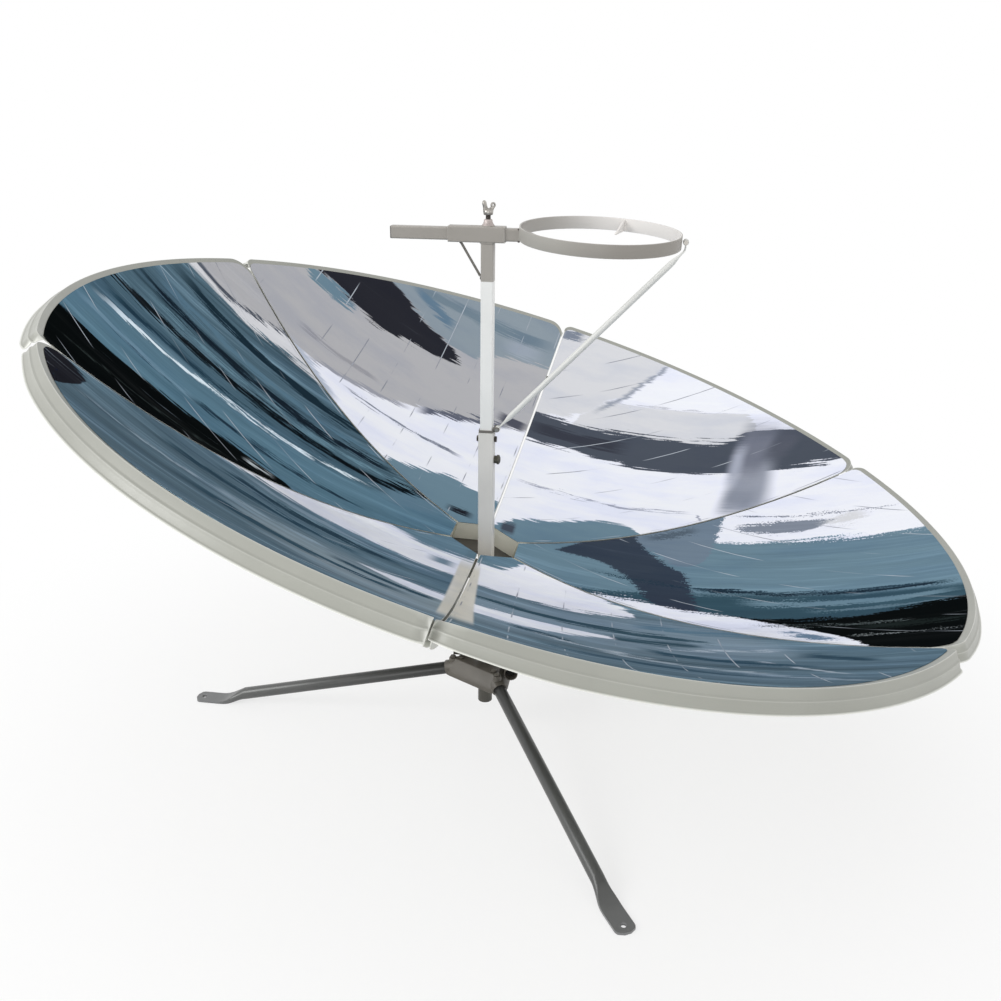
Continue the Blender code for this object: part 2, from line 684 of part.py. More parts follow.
def make_upper_column(upper):
    bottom = LOWER_TOP - UPPER_INSERTED
    top = SLEEVE_BOTTOM - GAP
    tube = square_tube("upper_column", UPPER_TUBE, TUBE_WALL, top - bottom, upper, (0, 0, bottom))
    width = CROSS_BOLT_DIAMETER + 2 * BOLT_CLEARANCE
    slot_top = CROSS_BOLT_HEIGHT + width / 2
    slot_bottom = CROSS_BOLT_HEIGHT - HEIGHT_TRAVEL - width / 2
    cut(tube, box("height_slot", (0.05, width, slot_top - slot_bottom), upper, (0, 0, (slot_top + slot_bottom) / 2)))
    finished(tube, (0.58, 0.57, 0.53), 0.4, 0.0)


def make_sleeve(upper):
    length = SLEEVE_FRONT - SLEEVE_BACK
    tube = square_tube("arm_sleeve", SLEEVE_TUBE, SLEEVE_WALL, length, upper, (SLEEVE_BACK, 0, SLEEVE_MIDDLE),
                       along_x())
    hole = cylinder("wing_bolt_bore", WING_BOLT_DIAMETER / 2 + RUNNING, SLEEVE_WALL * 4, upper,
                    (0, 0, SLEEVE_BOTTOM + SLEEVE_TUBE), sides=12)
    cut(tube, hole)
    finished(tube, (0.50, 0.48, 0.44), 0.42, 0.0)
    base = SLEEVE_BOTTOM + SLEEVE_TUBE + GAP
    bore = WING_BOLT_DIAMETER / 2 + RUNNING
    top = base + WELD_NUT_HEIGHT
    profile = [(bore, top), (WELD_NUT_RADIUS * 0.68, top), (WELD_NUT_RADIUS * 0.72, base + 0.006),
               (WELD_NUT_RADIUS, base + 0.0015), (WELD_NUT_RADIUS, base), (bore, base)]
    finished(turned("weld_nut", profile, upper, steps=12), (0.60, 0.56, 0.52), 0.4, 0.6)

    start = Vector((GUSSET_SLEEVE_X, 0, SLEEVE_BOTTOM))
    stop = Vector((-UPPER_TUBE / 2, 0, SLEEVE_BOTTOM - GUSSET_DROP))
    run = (stop - start).normalized()
    radius = GUSSET_DIAMETER / 2
    start += run * ((radius * abs(run.x) + GAP) / abs(run.z))
    stop -= run * ((radius * abs(run.z) + GAP) / abs(run.x))
    finished(rod("gusset_rod", [start, stop], radius, upper), (0.40, 0.38, 0.36), 0.45, 0.0)


def make_wing_bolt(wing_axis):
    tip = ARM_TOP + GAP
    nut_top = SLEEVE_BOTTOM + SLEEVE_TUBE + GAP + WELD_NUT_HEIGHT
    shank, head = WING_BOLT_DIAMETER / 2, 0.0075
    low = nut_top + 0.006
    profile = [(0, low + 0.009), (0.0055, low + 0.009), (head, low + 0.006), (head, low + 0.0015),
               (shank * 1.2, low), (shank, low - 0.0005), (shank, tip), (0, tip)]
    screw = turned("wing_bolt", profile, wing_axis, steps=12)
    lobes = wing("wing_bolt_lobes", 0.0135, 0.020, 0.0035, wing_axis, (0, 0, low + 0.003),
                 (0, 0, radians(38)))
    joined(screw, lobes)
    finished(screw, (0.62, 0.59, 0.55), 0.35, 0.8)


def make_arm(arm):
    tube = square_tube("arm_tube", ARM_TUBE, TUBE_WALL, ARM_LENGTH, arm, (ARM_BACK, 0, SLEEVE_MIDDLE), along_x())
    finished(tube, (0.50, 0.48, 0.44), 0.42, 0.0)
    cap = outline_solid("arm_end_cap", [rounded_square(ARM_TUBE - 2 * CAP_INSET, CORNER)], CAP_THICKNESS, arm,
                        (ARM_BACK - GAP - CAP_THICKNESS / 2, 0, SLEEVE_MIDDLE), along_x())
    inside = ARM_TUBE - 2 * TUBE_WALL - 2 * GAP
    reach = CAP_PLUG + GAP + CAP_THICKNESS / 2
    plug = box("cap_plug", (reach, inside, inside), arm, (ARM_BACK - GAP - CAP_THICKNESS / 2 + reach / 2, 0,
                                                          SLEEVE_MIDDLE))
    joined(cap, plug)
    finished(cap, (0.30, 0.29, 0.27), 0.5, 0.0)


# Pot ring
def ring_frame():
    """The ring's own frame: the origin on its axis at the top edge, sagging and twisted."""
    turn = Matrix.Rotation(RING_SAG, 4, "Y") @ Matrix.Rotation(RING_TWIST, 4, "X")
    return Matrix.Translation((ARM_FRONT, 0, RING_TOP)) @ turn @ Matrix.Translation((RING_RADIUS, 0, 0))


def upper_pin_place():
    middle = ring_frame() @ Vector((RING_RADIUS, 0, -RING_HEIGHT / 2))
    return Vector((middle.x + PIN_REACH, 0, middle.z))


def lower_pin_place():
    return Vector((COLLAR_INSIDE / 2 + COLLAR_WALL + PIN_REACH, 0, COLLAR_BOTTOM + BRACE_EYE + GAP))


def add_pin_ears(obj, name, place, root, parent):
    """Two ears that hold a pin along Y, reaching back from it by root to the piece they stand on."""
    arc = [(PIN_EAR * cos(a), PIN_EAR * sin(a)) for a in [-pi / 2 + pi * i / 8 for i in range(9)]]
    ear = arc + [(-root, PIN_EAR), (-root, -PIN_EAR)]
    bore = circle(PIN_DIAMETER / 2 + BOLT_CLEARANCE, 12)
    for side, word in ((-1, "front"), (1, "back")):
        middle = side * (BRACE_WIDTH / 2 + GAP + PIN_EAR_THICKNESS / 2)
        joined(obj, outline_solid(f"{name}_{word}", [ear, bore], PIN_EAR_THICKNESS, parent,
                                  (place.x, middle, place.z), (pi / 2, 0, 0)))


def make_pin(name, parent, place):
    """A headed pin along Y through two ears and the brace's eye between them."""
    half = BRACE_WIDTH / 2 + PIN_EAR_THICKNESS + 2 * GAP
    shank, head, tall = PIN_DIAMETER / 2, PIN_DIAMETER * 0.8, PIN_DIAMETER * 0.4
    profile = [(0, half + tall), (head, half + tall), (head, half), (shank, half), (shank, -half), (head, -half),
               (head, -half - tall), (0, -half - tall)]
    finished(turned(name, profile, parent, place, along_y(), steps=12), (0.50, 0.50, 0.48), 0.35, 1.0)


def make_pot_ring(arm):
    inner = RING_RADIUS - RING_BAND
    wall = RING_RADIUS - RING_BAND / 2
    ring = turned("pot_ring", tube_profile(RING_RADIUS, inner, -RING_HEIGHT, 0), arm, steps=48)
    ring.matrix_local = ring_frame()
    for number, angle in enumerate(POT_TAB_ANGLES):
        loop = [(wall, -0.001), (wall, -RING_HEIGHT + 0.0005), (inner - POT_TAB_REACH, -RING_HEIGHT + 0.0005),
                (inner - POT_TAB_REACH, -RING_HEIGHT + 0.002)]
        tab = outline_solid(f"pot_tab_{number + 1}", [loop], POT_TAB_THICKNESS, arm)
        tab.data.transform(Matrix.Rotation(radians(angle), 4, "Z") @ Matrix.Rotation(pi / 2, 4, "X"))
        tab.matrix_local = ring_frame()
        joined(ring, tab)
    add_pin_ears(ring, "ring_ear", upper_pin_place(), PIN_REACH + RING_BAND / 2, arm)
    finished(ring, (0.53, 0.51, 0.47), 0.42, 0.0)


# Brace between the ring's outer end and the column
def rolled_strap(name, run, bore, parent):
    """A strap across Y, its first end rolled into an eye; run is its centre line in XZ."""
    half = BRACE_STRAP / 2
    first = (run[1] - run[0]).normalized()
    lean, opening = atan2(first.y, first.x), asin(half / BRACE_EYE)
    eye = [(run[0].x + BRACE_EYE * cos(a), run[0].y + BRACE_EYE * sin(a))
           for a in [lean + opening + (2 * pi - 2 * opening) * i / 12 for i in range(13)]]
    left, right = [], []
    for index in range(1, len(run)):
        before = (run[index] - run[index - 1]).normalized()
        after = (run[index + 1] - run[index]).normalized() if index + 1 < len(run) else before
        middle = (before + after).normalized()
        side = Vector((-middle.y, middle.x)) * (half / middle.dot(before))
        left.append(tuple(run[index] + side))
        right.append(tuple(run[index] - side))
    loops = [eye + right + left[::-1], circle(bore, 12, tuple(run[0]))]
    return outline_solid(name, loops, BRACE_WIDTH, parent, rotation=(pi / 2, 0, 0))


def round_bar(name, start, stop, parent):
    """A round bar in the XZ plane, pressed flat across Y at both ends."""
    run = Vector((stop.x - start.x, 0, stop.y - start.y))
    along, length = run.normalized(), run.length
    flat, full = (BRACE_WIDTH * 0.46, BRACE_STRAP * 0.42), (BRACE_WIDTH / 2 - 0.0002, BRACE_WIDTH / 2 - 0.0002)
    bm = bmesh.new()
    rings = []
    for distance, shape in ((0, flat), (BRACE_BLEND, full), (length - BRACE_BLEND, full), (length, flat)):
        place = Vector((start.x, 0, start.y)) + along * distance
        rings.append([bm.verts.new(point) for point in leg_section(shape, place, along, 12)])
    for before, after in zip(rings, rings[1:]):
        for i in range(12):
            j = (i + 1) % 12
            bm.faces.new((before[i], before[j], after[j], after[i]))
    bm.faces.new(rings[0])
    bm.faces.new(rings[-1])
    bmesh.ops.recalc_face_normals(bm, faces=bm.faces)
    return placed(name, mesh_of(bm, name), parent)


def make_brace(swing):
    """The brace hangs from the upper pin, bends under the ring and runs to the lower pin."""
    gap = lower_pin_place() - upper_pin_place()
    low, bend = Vector((gap.x, gap.z)), Vector((0, -RING_HEIGHT / 2 - BRACE_DROP))
    along = (low - bend).normalized()
    upper_eye, lower_eye = PIN_DIAMETER / 2 + RUNNING, PIN_DIAMETER / 2 + BRACE_PLAY
    brace = rolled_strap("brace", [Vector((0, 0)), bend, bend + along * BRACE_BLEND], upper_eye, swing)
    joined(brace, rolled_strap("brace_foot", [low, low - along * BRACE_BLEND], lower_eye, swing))
    joined(brace, round_bar("brace_bar", bend + along * BRACE_BLEND / 3, low - along * BRACE_BLEND / 2, swing))
    finished(brace, (0.60, 0.59, 0.55), 0.42, 0.0)


def make_brace_collar(collar):
    """A strap round the upper tube that rests on the lower one and carries the brace's lower pin."""
    loops = [rounded_square(COLLAR_INSIDE + 2 * COLLAR_WALL, CORNER), rounded_square(COLLAR_INSIDE, 0)]
    strap = outline_solid("brace_collar", loops, COLLAR_HEIGHT, collar, (0, 0, COLLAR_BOTTOM + COLLAR_HEIGHT / 2))
    add_pin_ears(strap, "collar_ear", lower_pin_place(), PIN_REACH + COLLAR_WALL / 2, collar)
    finished(strap, (0.45, 0.44, 0.41), 0.45, 0.0)


# Base
def leg_axis_height(radius):
    return LEG_ROOT_HEIGHT - (radius - LEG_ROOT_RADIUS) * tan(LEG_SLOPE)


def hub_outline(spread):
    """A triangle with rounded corners towards the legs, grown outwards by spread."""
    reach = HUB_CORNER_REACH - HUB_CORNER_RADIUS
    radius = HUB_CORNER_RADIUS + spread
    points = []
    for angle in (60, 180, 300):
        middle = Vector((reach * cos(radians(angle)), reach * sin(radians(angle))))
        for step in range(7):
            turn = radians(angle - 60 + 120 * step / 6)
            points.append((middle.x + radius * cos(turn), middle.y + radius * sin(turn)))
    return points


def make_hub(stand):
    bm = bmesh.new()
    top = [bm.verts.new((x, y, HUB_TOP)) for x, y in hub_outline(0)]
    shoulder = [bm.verts.new((x, y, HUB_TOP - 0.004)) for x, y in hub_outline(0.003)]
    low = [bm.verts.new((x, y, HUB_BOTTOM)) for x, y in hub_outline(HUB_FLARE)]
    bm.faces.new(top)
    for upper, lower in ((top, shoulder), (shoulder, low)):
        for i in range(len(upper)):
            j = (i + 1) % len(upper)
            bm.faces.new((upper[i], lower[i], lower[j], upper[j]))
    bmesh.ops.recalc_face_normals(bm, faces=bm.faces)
    bm.faces.ensure_lookup_table()
    if bm.faces[0].normal.z < 0:
        bmesh.ops.reverse_faces(bm, faces=bm.faces)
    hub = placed("hub_shell", mesh_of(bm, "hub_shell"), stand)
    solidify(hub, HUB_WALL, -1)
    cut(hub, cylinder("hub_tube_hole", HUB_TUBE_DIAMETER / 2 + GAP, 0.05, stand, (0, 0, HUB_TOP), sides=24))
    for number, angle in enumerate(LEG_ANGLES):
        turn = radians(angle)
        middle = 0.075
        place = (middle * cos(turn), middle * sin(turn), leg_axis_height(middle))
        hole = cylinder(f"leg_hole_{number + 1}", LEG_DIAMETER / 2 + GAP, 0.07, stand, place,
                        (0, pi / 2 + LEG_SLOPE, turn), 20)
        cut(hub, hole)
        for radius, word in ((LEG_BOLT_RADIUS, "outer"), (HUB_BOLT_RADIUS, "inner")):
            drill = cylinder(f"hub_drill_{word}_{number + 1}", BOLT_DIAMETER / 2 + BOLT_CLEARANCE, 0.02, stand,
                             (radius * cos(turn), radius * sin(turn), HUB_TOP), sides=8)
            cut(hub, drill)
    cut(hub, cylinder("side_tube_notch", SIDE_TUBE_DIAMETER / 2 + GAP, SIDE_TUBE_LENGTH + 0.006, stand,
                      SIDE_TUBE_PLACE, (0, pi / 2, SIDE_TUBE_TURN), 20))
    finished(hub, (0.135, 0.122, 0.102), 0.5, 0.1)


def leg_section(shape, centre, along, count=16):
    """One ring of a leg: shape is (half width, half height), square to the along direction."""
    half_width, half_height = shape
    side = Vector((0, 1, 0))
    rise = along.cross(side).normalized()
    if rise.z < 0:
        rise = -rise
    return [centre + side * (half_width * cos(2 * pi * i / count)) + rise * (half_height * sin(2 * pi * i / count))
            for i in range(count)]


def make_leg(number, angle, stand):
    """A round tube, crushed flat and bent level at the foot, open at its inner end."""
    radius = LEG_DIAMETER / 2
    down = Vector((cos(LEG_SLOPE), 0, -sin(LEG_SLOPE)))
    level = Vector((1, 0, 0))
    flat_start = LEG_REACH - FOOT_PLATE_LENGTH + 0.020
    crush_start = flat_start - 0.045
    begin = Vector((LEG_INNER_RADIUS, 0, leg_axis_height(LEG_INNER_RADIUS)))
    crush = Vector((crush_start, 0, leg_axis_height(crush_start)))
    flat = (FOOT_PLATE_WIDTH / 2, FOOT_THICKNESS / 2)
    halfway = Vector((flat_start - 0.018, 0, FOOT_MIDDLE + 0.005))
    bm = bmesh.new()
    outer = [leg_section((radius, radius), begin, down), leg_section((radius, radius), crush, down),
             leg_section((radius * 1.2, radius * 0.55), halfway, (down + level).normalized())]
    inner = [leg_section((radius - LEG_WALL, radius - LEG_WALL), place, down) for place in (begin, crush)]
    rings = [[bm.verts.new(point) for point in ring] for ring in outer]
    bore = [[bm.verts.new(point) for point in ring] for ring in inner]

    def plate_ring(x, half_width):
        points = leg_section((1, 1), Vector((x, 0, FOOT_MIDDLE)), level)
        made = []
        for point in points:
            y, z = point.y, point.z - FOOT_MIDDLE
            y = max(-0.86, min(0.86, y)) / 0.86
            high = 1 if z > 1e-6 else -1 if z < -1e-6 else 0
            made.append(bm.verts.new((x, y * half_width, FOOT_MIDDLE + high * flat[1])))
        return made

    end = LEG_REACH + FOOT_END
    clip = 0.009
    rings += [plate_ring(flat_start, flat[0]), plate_ring(end - clip, flat[0]), plate_ring(end, flat[0] - clip)]
    count = len(rings[0])
    for before, after in zip(rings, rings[1:]):
        for i in range(count):
            j = (i + 1) % count
            bm.faces.new((before[i], before[j], after[j], after[i]))
    for i in range(count):
        j = (i + 1) % count
        bm.faces.new((bore[0][i], bore[1][i], bore[1][j], bore[0][j]))
        bm.faces.new((rings[0][i], bore[0][i], bore[0][j], rings[0][j]))
    bm.faces.new(bore[1])
    bm.faces.new(rings[-1])
    bmesh.ops.recalc_face_normals(bm, faces=bm.faces)
    bmesh.ops.triangulate(bm, faces=bm.faces)
    turn = radians(angle)
    leg = placed(f"leg_{number + 1}", mesh_of(bm, f"leg_{number + 1}"), stand, rotation=(0, 0, turn))
    cut(leg, cylinder(f"foot_bore_{number + 1}", FOOT_HOLE_DIAMETER / 2, 0.02, stand,
                      (LEG_REACH * cos(turn), LEG_REACH * sin(turn), FOOT_MIDDLE), sides=12))
    for reach, name in ((LEG_BOLT_RADIUS, f"leg_bolt_{number + 1}"), (HUB_BOLT_RADIUS, f"hub_bolt_{number + 1}")):
        x, y, middle = reach * cos(turn), reach * sin(turn), leg_axis_height(reach)
        cut(leg, cylinder(f"{name}_bore", BOLT_DIAMETER / 2 + BOLT_CLEARANCE, 0.06, stand, (x, y, middle), sides=8))
        under = middle - radius / cos(LEG_SLOPE) - BOLT_HEAD * BOLT_DIAMETER * tan(LEG_SLOPE) - GAP
        grip = HUB_TOP + GAP - under
        made = bolt(name, BOLT_DIAMETER, grip, stand, (x, y, under + grip / 2), (0, 0, turn + pi / 6))
        finished(made, (0.12, 0.11, 0.10), 0.4, 0.8)
    finished(leg, (0.080, 0.080, 0.082), 0.35, 0.3)


def make_hub_tubes(stand):
    outer = HUB_TUBE_DIAMETER / 2
    tube = turned("hub_tube", tube_profile(outer, outer - HUB_TUBE_WALL, HUB_TUBE_BOTTOM, HUB_TUBE_TOP), stand,
                  steps=20)
    finished(tube, (0.13, 0.12, 0.10), 0.5, 0.2)
    half = SIDE_TUBE_LENGTH / 2
    radius = SIDE_TUBE_DIAMETER / 2
    profile = tube_profile(radius, radius - SIDE_TUBE_WALL, -half, half)
    side = turned("hub_side_tube", profile, stand, SIDE_TUBE_PLACE, (0, pi / 2, SIDE_TUBE_TURN), steps=20)
    finished(side, (0.12, 0.11, 0.10), 0.5, 0.2)
    low, high, clip = HUB_TOP + GAP, HUB_TOP + GAP + PLATE_HEIGHT, 0.008
    stop = PLATE_START + PLATE_LENGTH
    outline = [(PLATE_START, low), (stop, low), (stop, high - clip), (stop - clip, high),
               (PLATE_START + clip, high), (PLATE_START, high - clip)]
    hole = circle(0.004, 12, (PLATE_START + PLATE_LENGTH / 2, (low + high) / 2 + 0.006))
    plate = outline_solid("hub_plate", [outline, hole], PLATE_THICKNESS, stand, (0, PLATE_ASIDE, 0), (pi / 2, 0, 0))
    finished(plate, (0.10, 0.09, 0.08), 0.5, 0.2)


def make_swivel(column):
    outer = SPIGOT_DIAMETER / 2
    spigot = turned("swivel_spigot", tube_profile(outer, outer - SPIGOT_WALL, HUB_TUBE_BOTTOM + 0.002,
                                                  COLUMN_BOTTOM + SPIGOT_RISE), column, steps=20)
    finished(spigot, (0.30, 0.29, 0.27), 0.4, 0.5)
    bore = outer + RUNNING
    base = HUB_TUBE_TOP + GAP
    washer = turned("swivel_washer", tube_profile(bore + WASHER_WIDTH, bore, base, base + WASHER_THICKNESS), column,
                    steps=24)
    finished(washer, (0.13, 0.12, 0.10), 0.5, 0.3)


def build():
    stand = empty("stand", location=(-DISH_CENTRE_X, 0, 0))
    make_hub(stand)
    make_hub_tubes(stand)
    for number, angle in enumerate(LEG_ANGLES):
        make_leg(number, angle, stand)

    column = empty("swivel_turn", stand)
    make_swivel(column)
    make_lower_column(column)
    make_clamp_screw(empty("clamp_turn", column, (0, 0, CLAMP_HEIGHT)))

    axle = empty("dish_tilt", column, (0, 0, AXLE_HEIGHT), (0, DISH_TILT, 0))
    make_tilt_axle(axle)
    dish = empty("dish", axle, (-AXLE_OFFSET, 0, AXLE_DEPTH))
    make_centre_frame(dish)
    make_petals(dish)

    upper = empty("column_height", column)
    make_upper_column(upper)
    make_sleeve(upper)
    make_wing_bolt(empty("wing_bolt_turn", upper))
    collar = empty("collar_slide", upper)
    make_brace_collar(collar)
    make_pin("brace_lower_pin", collar, lower_pin_place())

    arm = empty("arm_reach", upper)
    make_arm(arm)
    make_pot_ring(arm)
    make_pin("brace_upper_pin", arm, upper_pin_place())
    make_brace(empty("brace_swing", arm, upper_pin_place()))


build()
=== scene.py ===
"""Looks for the parabolic solar cooker: finer sheet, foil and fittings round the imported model,
their materials, a pale floor, soft light and the camera."""
from math import asin, atan2, cos, pi, radians, sin, sqrt, tan

import bmesh
import bpy
from mathutils import Matrix, Vector


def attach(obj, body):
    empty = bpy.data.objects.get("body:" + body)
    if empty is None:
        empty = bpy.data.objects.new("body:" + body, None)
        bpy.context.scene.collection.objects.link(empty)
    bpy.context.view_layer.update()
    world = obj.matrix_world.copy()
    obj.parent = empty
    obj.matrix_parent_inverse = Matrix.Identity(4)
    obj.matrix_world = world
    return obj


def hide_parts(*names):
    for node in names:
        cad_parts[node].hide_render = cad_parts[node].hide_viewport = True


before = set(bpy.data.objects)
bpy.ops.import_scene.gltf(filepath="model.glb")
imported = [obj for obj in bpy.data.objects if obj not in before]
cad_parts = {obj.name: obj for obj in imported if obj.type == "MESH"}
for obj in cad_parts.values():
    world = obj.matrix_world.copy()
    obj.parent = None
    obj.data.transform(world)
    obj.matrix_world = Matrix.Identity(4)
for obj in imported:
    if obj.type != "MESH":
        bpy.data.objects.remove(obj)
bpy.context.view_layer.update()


def moved(x, y, z):
    return Matrix.Translation((x, y, z))


def spun(angle, axis="Z"):
    return Matrix.Rotation(angle, 4, axis)


# Sizes of the solids, in metres
GAP = 0.0003
RUNNING = 0.0005
PETALS = 6
FOCAL_LENGTH = 0.5516
MIRROR_RADIUS = 0.720
HOLE_CORNER_RADIUS = 0.0656
SHEET = 0.001
FILM = 0.0005
RIM_BORDER = 0.0068
FILM_MARGIN = 0.0015
SEAM_GAP = 0.002
SKIRT_GAP = 0.0014
LEAD_CORNER = 0.035
TRAIL_CORNER = 0.015
SKIRT_STEPS = [(0.0020, 0.0015), (0.0070, -0.0098), (0.0032, -0.0011), (0.0012, -0.0040), (0.0040, -0.0066),
               (0.0033, -0.0012)]
SKIRT_TRIM = 0.20
TRIM_LENGTH = 0.150
SIDE_FLANGE = 0.034
INNER_FLANGE = 0.030
FOOT_WIDTH = 0.014
FOLD = 0.0008
SEAM_BOLT_RADIUS = 0.60
SEAM_BOLT_DEPTH = 0.018
FRAME_PLATE = 0.004
STRIP = 0.0722
DISH_TILT = radians(16.3)
AXLE_HEIGHT = 0.3164
AXLE_DEPTH = 0.045
AXLE_OFFSET = 0.016
COLUMN_X = -0.058518
UPPER_TUBE = 0.020
ARM_TUBE = 0.019
LOWER_TOP = 0.5595
SLEEVE_BOTTOM = 0.8625
SLEEVE_TUBE = ARM_TUBE + 2 * (RUNNING + 0.002)
SLEEVE_TOP = SLEEVE_BOTTOM + SLEEVE_TUBE
SLEEVE_MIDDLE = SLEEVE_BOTTOM + SLEEVE_TUBE / 2
SLEEVE_FRONT = 0.027
RING_RADIUS = 0.1227
RING_BAND = 0.0025
RING_HEIGHT = 0.020
RING_SAG = radians(2.3)
RING_TWIST = radians(3.2)
ARM_FRONT = SLEEVE_FRONT + 0.022
RING_TOP = SLEEVE_MIDDLE + ARM_TUBE / 2 + 0.007
POT_TAB_REACH = 0.043
POT_TAB_ANGLES = (75, 195, 315)
PIN_REACH = 0.0056
PIN_DIAMETER = 0.004
BRACE_WIDTH = 0.0100
BRACE_STRAP = 0.0025
BRACE_EYE = 0.0045
BRACE_BLEND = 0.022
BRACE_DROP = 0.002
BRACE_PLAY = 0.0007
COLLAR_INSIDE = UPPER_TUBE + 2 * RUNNING
COLLAR_WALL = 0.0015
HUB_TOP = 0.1330
HUB_BOTTOM = 0.1050
HUB_WALL = 0.0025
HUB_CORNER_REACH = 0.066
HUB_CORNER_RADIUS = 0.016
HUB_FLARE = 0.006
HUB_TUBE_RADIUS = 0.0132
SIDE_TUBE_DIAMETER = 0.024
SIDE_TUBE_WALL = 0.0015
SIDE_TUBE_LENGTH = 0.034
SIDE_TUBE_PLACE = (0.0496, -0.0231, 0.1312)
SIDE_TUBE_TURN = radians(-84)
WELD_NUT_RADIUS = 0.0095
WELD_NUT_HEIGHT = 0.010
WING_BOLT_RADIUS = 0.004
WING_TURN = radians(38)
GUSSET_SLEEVE_X = -0.043
GUSSET_DROP = 0.055
LEG_ANGLES = (180, 60, 300)
LEG_DIAMETER = 0.022
LEG_WALL = 0.0015
LEG_INNER_RADIUS = 0.038
LEG_ROOT_RADIUS = 0.062
LEG_ROOT_HEIGHT = 0.1130
LEG_REACH = 0.539
LEG_BOLT_RADIUS = 0.0585
HUB_BOLT_RADIUS = 0.0435
BOLT_DIAMETER = 0.006
BOLT_HEAD = 0.85 * BOLT_DIAMETER
FOOT_THICKNESS = 0.004
FOOT_PLATE_WIDTH = 0.032
FOOT_PLATE_LENGTH = 0.050
FOOT_END = 0.014
FOOT_CORNER = 0.011
FOOT_HOLE_DIAMETER = 0.008

# Sizes of what the scene adds
CHAMFER = 0.0007
BEAD = 0.0013
COLUMNS = 36
# Height above which the upper column has painted shade
SHADE_LINE = 0.8035

# Values worked out from these
HALF_PETAL = pi / PETALS
BOWL_EDGE = MIRROR_RADIUS + RIM_BORDER
HOLE_APOTHEM = HOLE_CORNER_RADIUS * cos(HALF_PETAL)
PLATE_TOP = -INNER_FLANGE - GAP
LEG_SLOPE = atan2(LEG_ROOT_HEIGHT - LEG_DIAMETER / 2, LEG_REACH - FOOT_PLATE_LENGTH - LEG_ROOT_RADIUS)
LEG_DOWN = Vector((cos(LEG_SLOPE), 0, -sin(LEG_SLOPE)))

STAND = moved(COLUMN_X, 0, 0)
DISH = STAND @ moved(0, 0, AXLE_HEIGHT) @ spun(DISH_TILT, "Y") @ moved(-AXLE_OFFSET, 0, AXLE_DEPTH)
RING = (STAND @ moved(ARM_FRONT, 0, RING_TOP) @ spun(RING_SAG, "Y") @ spun(RING_TWIST, "X")
        @ moved(RING_RADIUS, 0, 0))
SIDE_TUBE = moved(*SIDE_TUBE_PLACE) @ spun(SIDE_TUBE_TURN) @ spun(pi / 2, "Y")
UPRIGHT = spun(pi / 2, "X")


def tone(colour):
    """A display colour of 0 to 255 as the linear one that a shader takes."""
    return tuple(((c / 255 + 0.055) / 1.055) ** 2.4 if c > 10 else c / 255 / 12.92 for c in colour) + (1,)


def scaled(colour, factor):
    return tuple(min(1, c * factor) for c in colour[:3]) + (1,)


def eased(t):
    """From 0 to 1 with a level start and end."""
    return t * t * (3 - 2 * t)


# Node trees
class Nodes:
    """Builds a node tree: a value given for an input is either a constant or another node's output."""

    def __init__(self, tree):
        self.tree = tree

    def fill(self, node, inputs):
        for key, value in inputs.items():
            if isinstance(value, bpy.types.NodeSocket):
                self.tree.links.new(value, node.inputs[key])
            else:
                node.inputs[key].default_value = value

    def add(self, kind, inputs=None, out=0, **settings):
        node = self.tree.nodes.new("ShaderNode" + kind)
        for key, value in settings.items():
            setattr(node, key, value)
        self.fill(node, inputs or {})
        return node.outputs[out]

    def math(self, operation, a, b=0.0):
        return self.add("Math", {0: a, 1: b}, operation=operation)

    def times(self, a, b):
        return self.math("MULTIPLY", a, b)

    def minus(self, a, b):
        return self.math("SUBTRACT", a, b)

    def vector(self, operation, a, b=(0, 0, 0), scale=1.0):
        out = 1 if operation in ("LENGTH", "DOT_PRODUCT") else 0
        return self.add("VectorMath", {0: a, 1: b, 3: scale}, out, operation=operation)

    def split(self, vector):
        return self.add("SeparateXYZ", {0: vector}).node.outputs

    def ramp(self, value, low, high, start=0.0, stop=1.0, smooth=False):
        return self.add("MapRange", {0: value, 1: low, 2: high, 3: start, 4: stop},
                        interpolation_type="SMOOTHSTEP" if smooth else "LINEAR")

    def mix(self, factor, a, b, blend="MIX", clamp=False):
        return self.add("Mix", {0: factor, 6: a, 7: b}, out=2, data_type="RGBA", blend_type=blend,
                        clamp_result=clamp)

    def place(self, vector, rotation=(0, 0, 0), scale=(1, 1, 1), location=(0, 0, 0), kind="POINT"):
        return self.add("Mapping", {0: vector, 1: location, 2: rotation, 3: scale}, vector_type=kind)

    def inside(self, coords, place):
        """The coordinates seen from a placed frame."""
        return self.place(coords, place.to_euler(), location=place.to_translation(), kind="TEXTURE")

    def along(self, vector, angle, scale=(1, 1, 1), location=(0, 0, 0)):
        return self.place(vector, (0, 0, -angle), scale, location)

    def reach(self, vector):
        """How far a place is from the Z axis."""
        return self.vector("LENGTH", self.vector("MULTIPLY", vector, (1, 1, 0)))

    def noise(self, vector, scale, detail=3.0, rough=0.55):
        return self.add("TexNoise", {"Vector": vector, "Scale": scale, "Detail": detail, "Roughness": rough})

    def bump(self, height, distance, normal=None):
        inputs = {"Distance": distance, "Height": height}
        if normal is not None:
            inputs["Normal"] = normal
        return self.add("Bump", inputs)

    def edges(self, radius):
        """1 along the edges of a shape and 0 on its flats."""
        soft = self.add("Bevel", {"Radius": radius}, samples=4)
        same = self.vector("DOT_PRODUCT", soft, self.add("NewGeometry", out=1))
        return self.ramp(same, 0.98, 0.88)

    def seen(self):
        """1 for what the camera sees, also in a mirror or through glass."""
        path = self.add("LightPath").node.outputs
        return self.math("MAXIMUM", path["Is Camera Ray"],
                         self.math("MAXIMUM", path["Is Glossy Ray"], path["Is Transmission Ray"]))


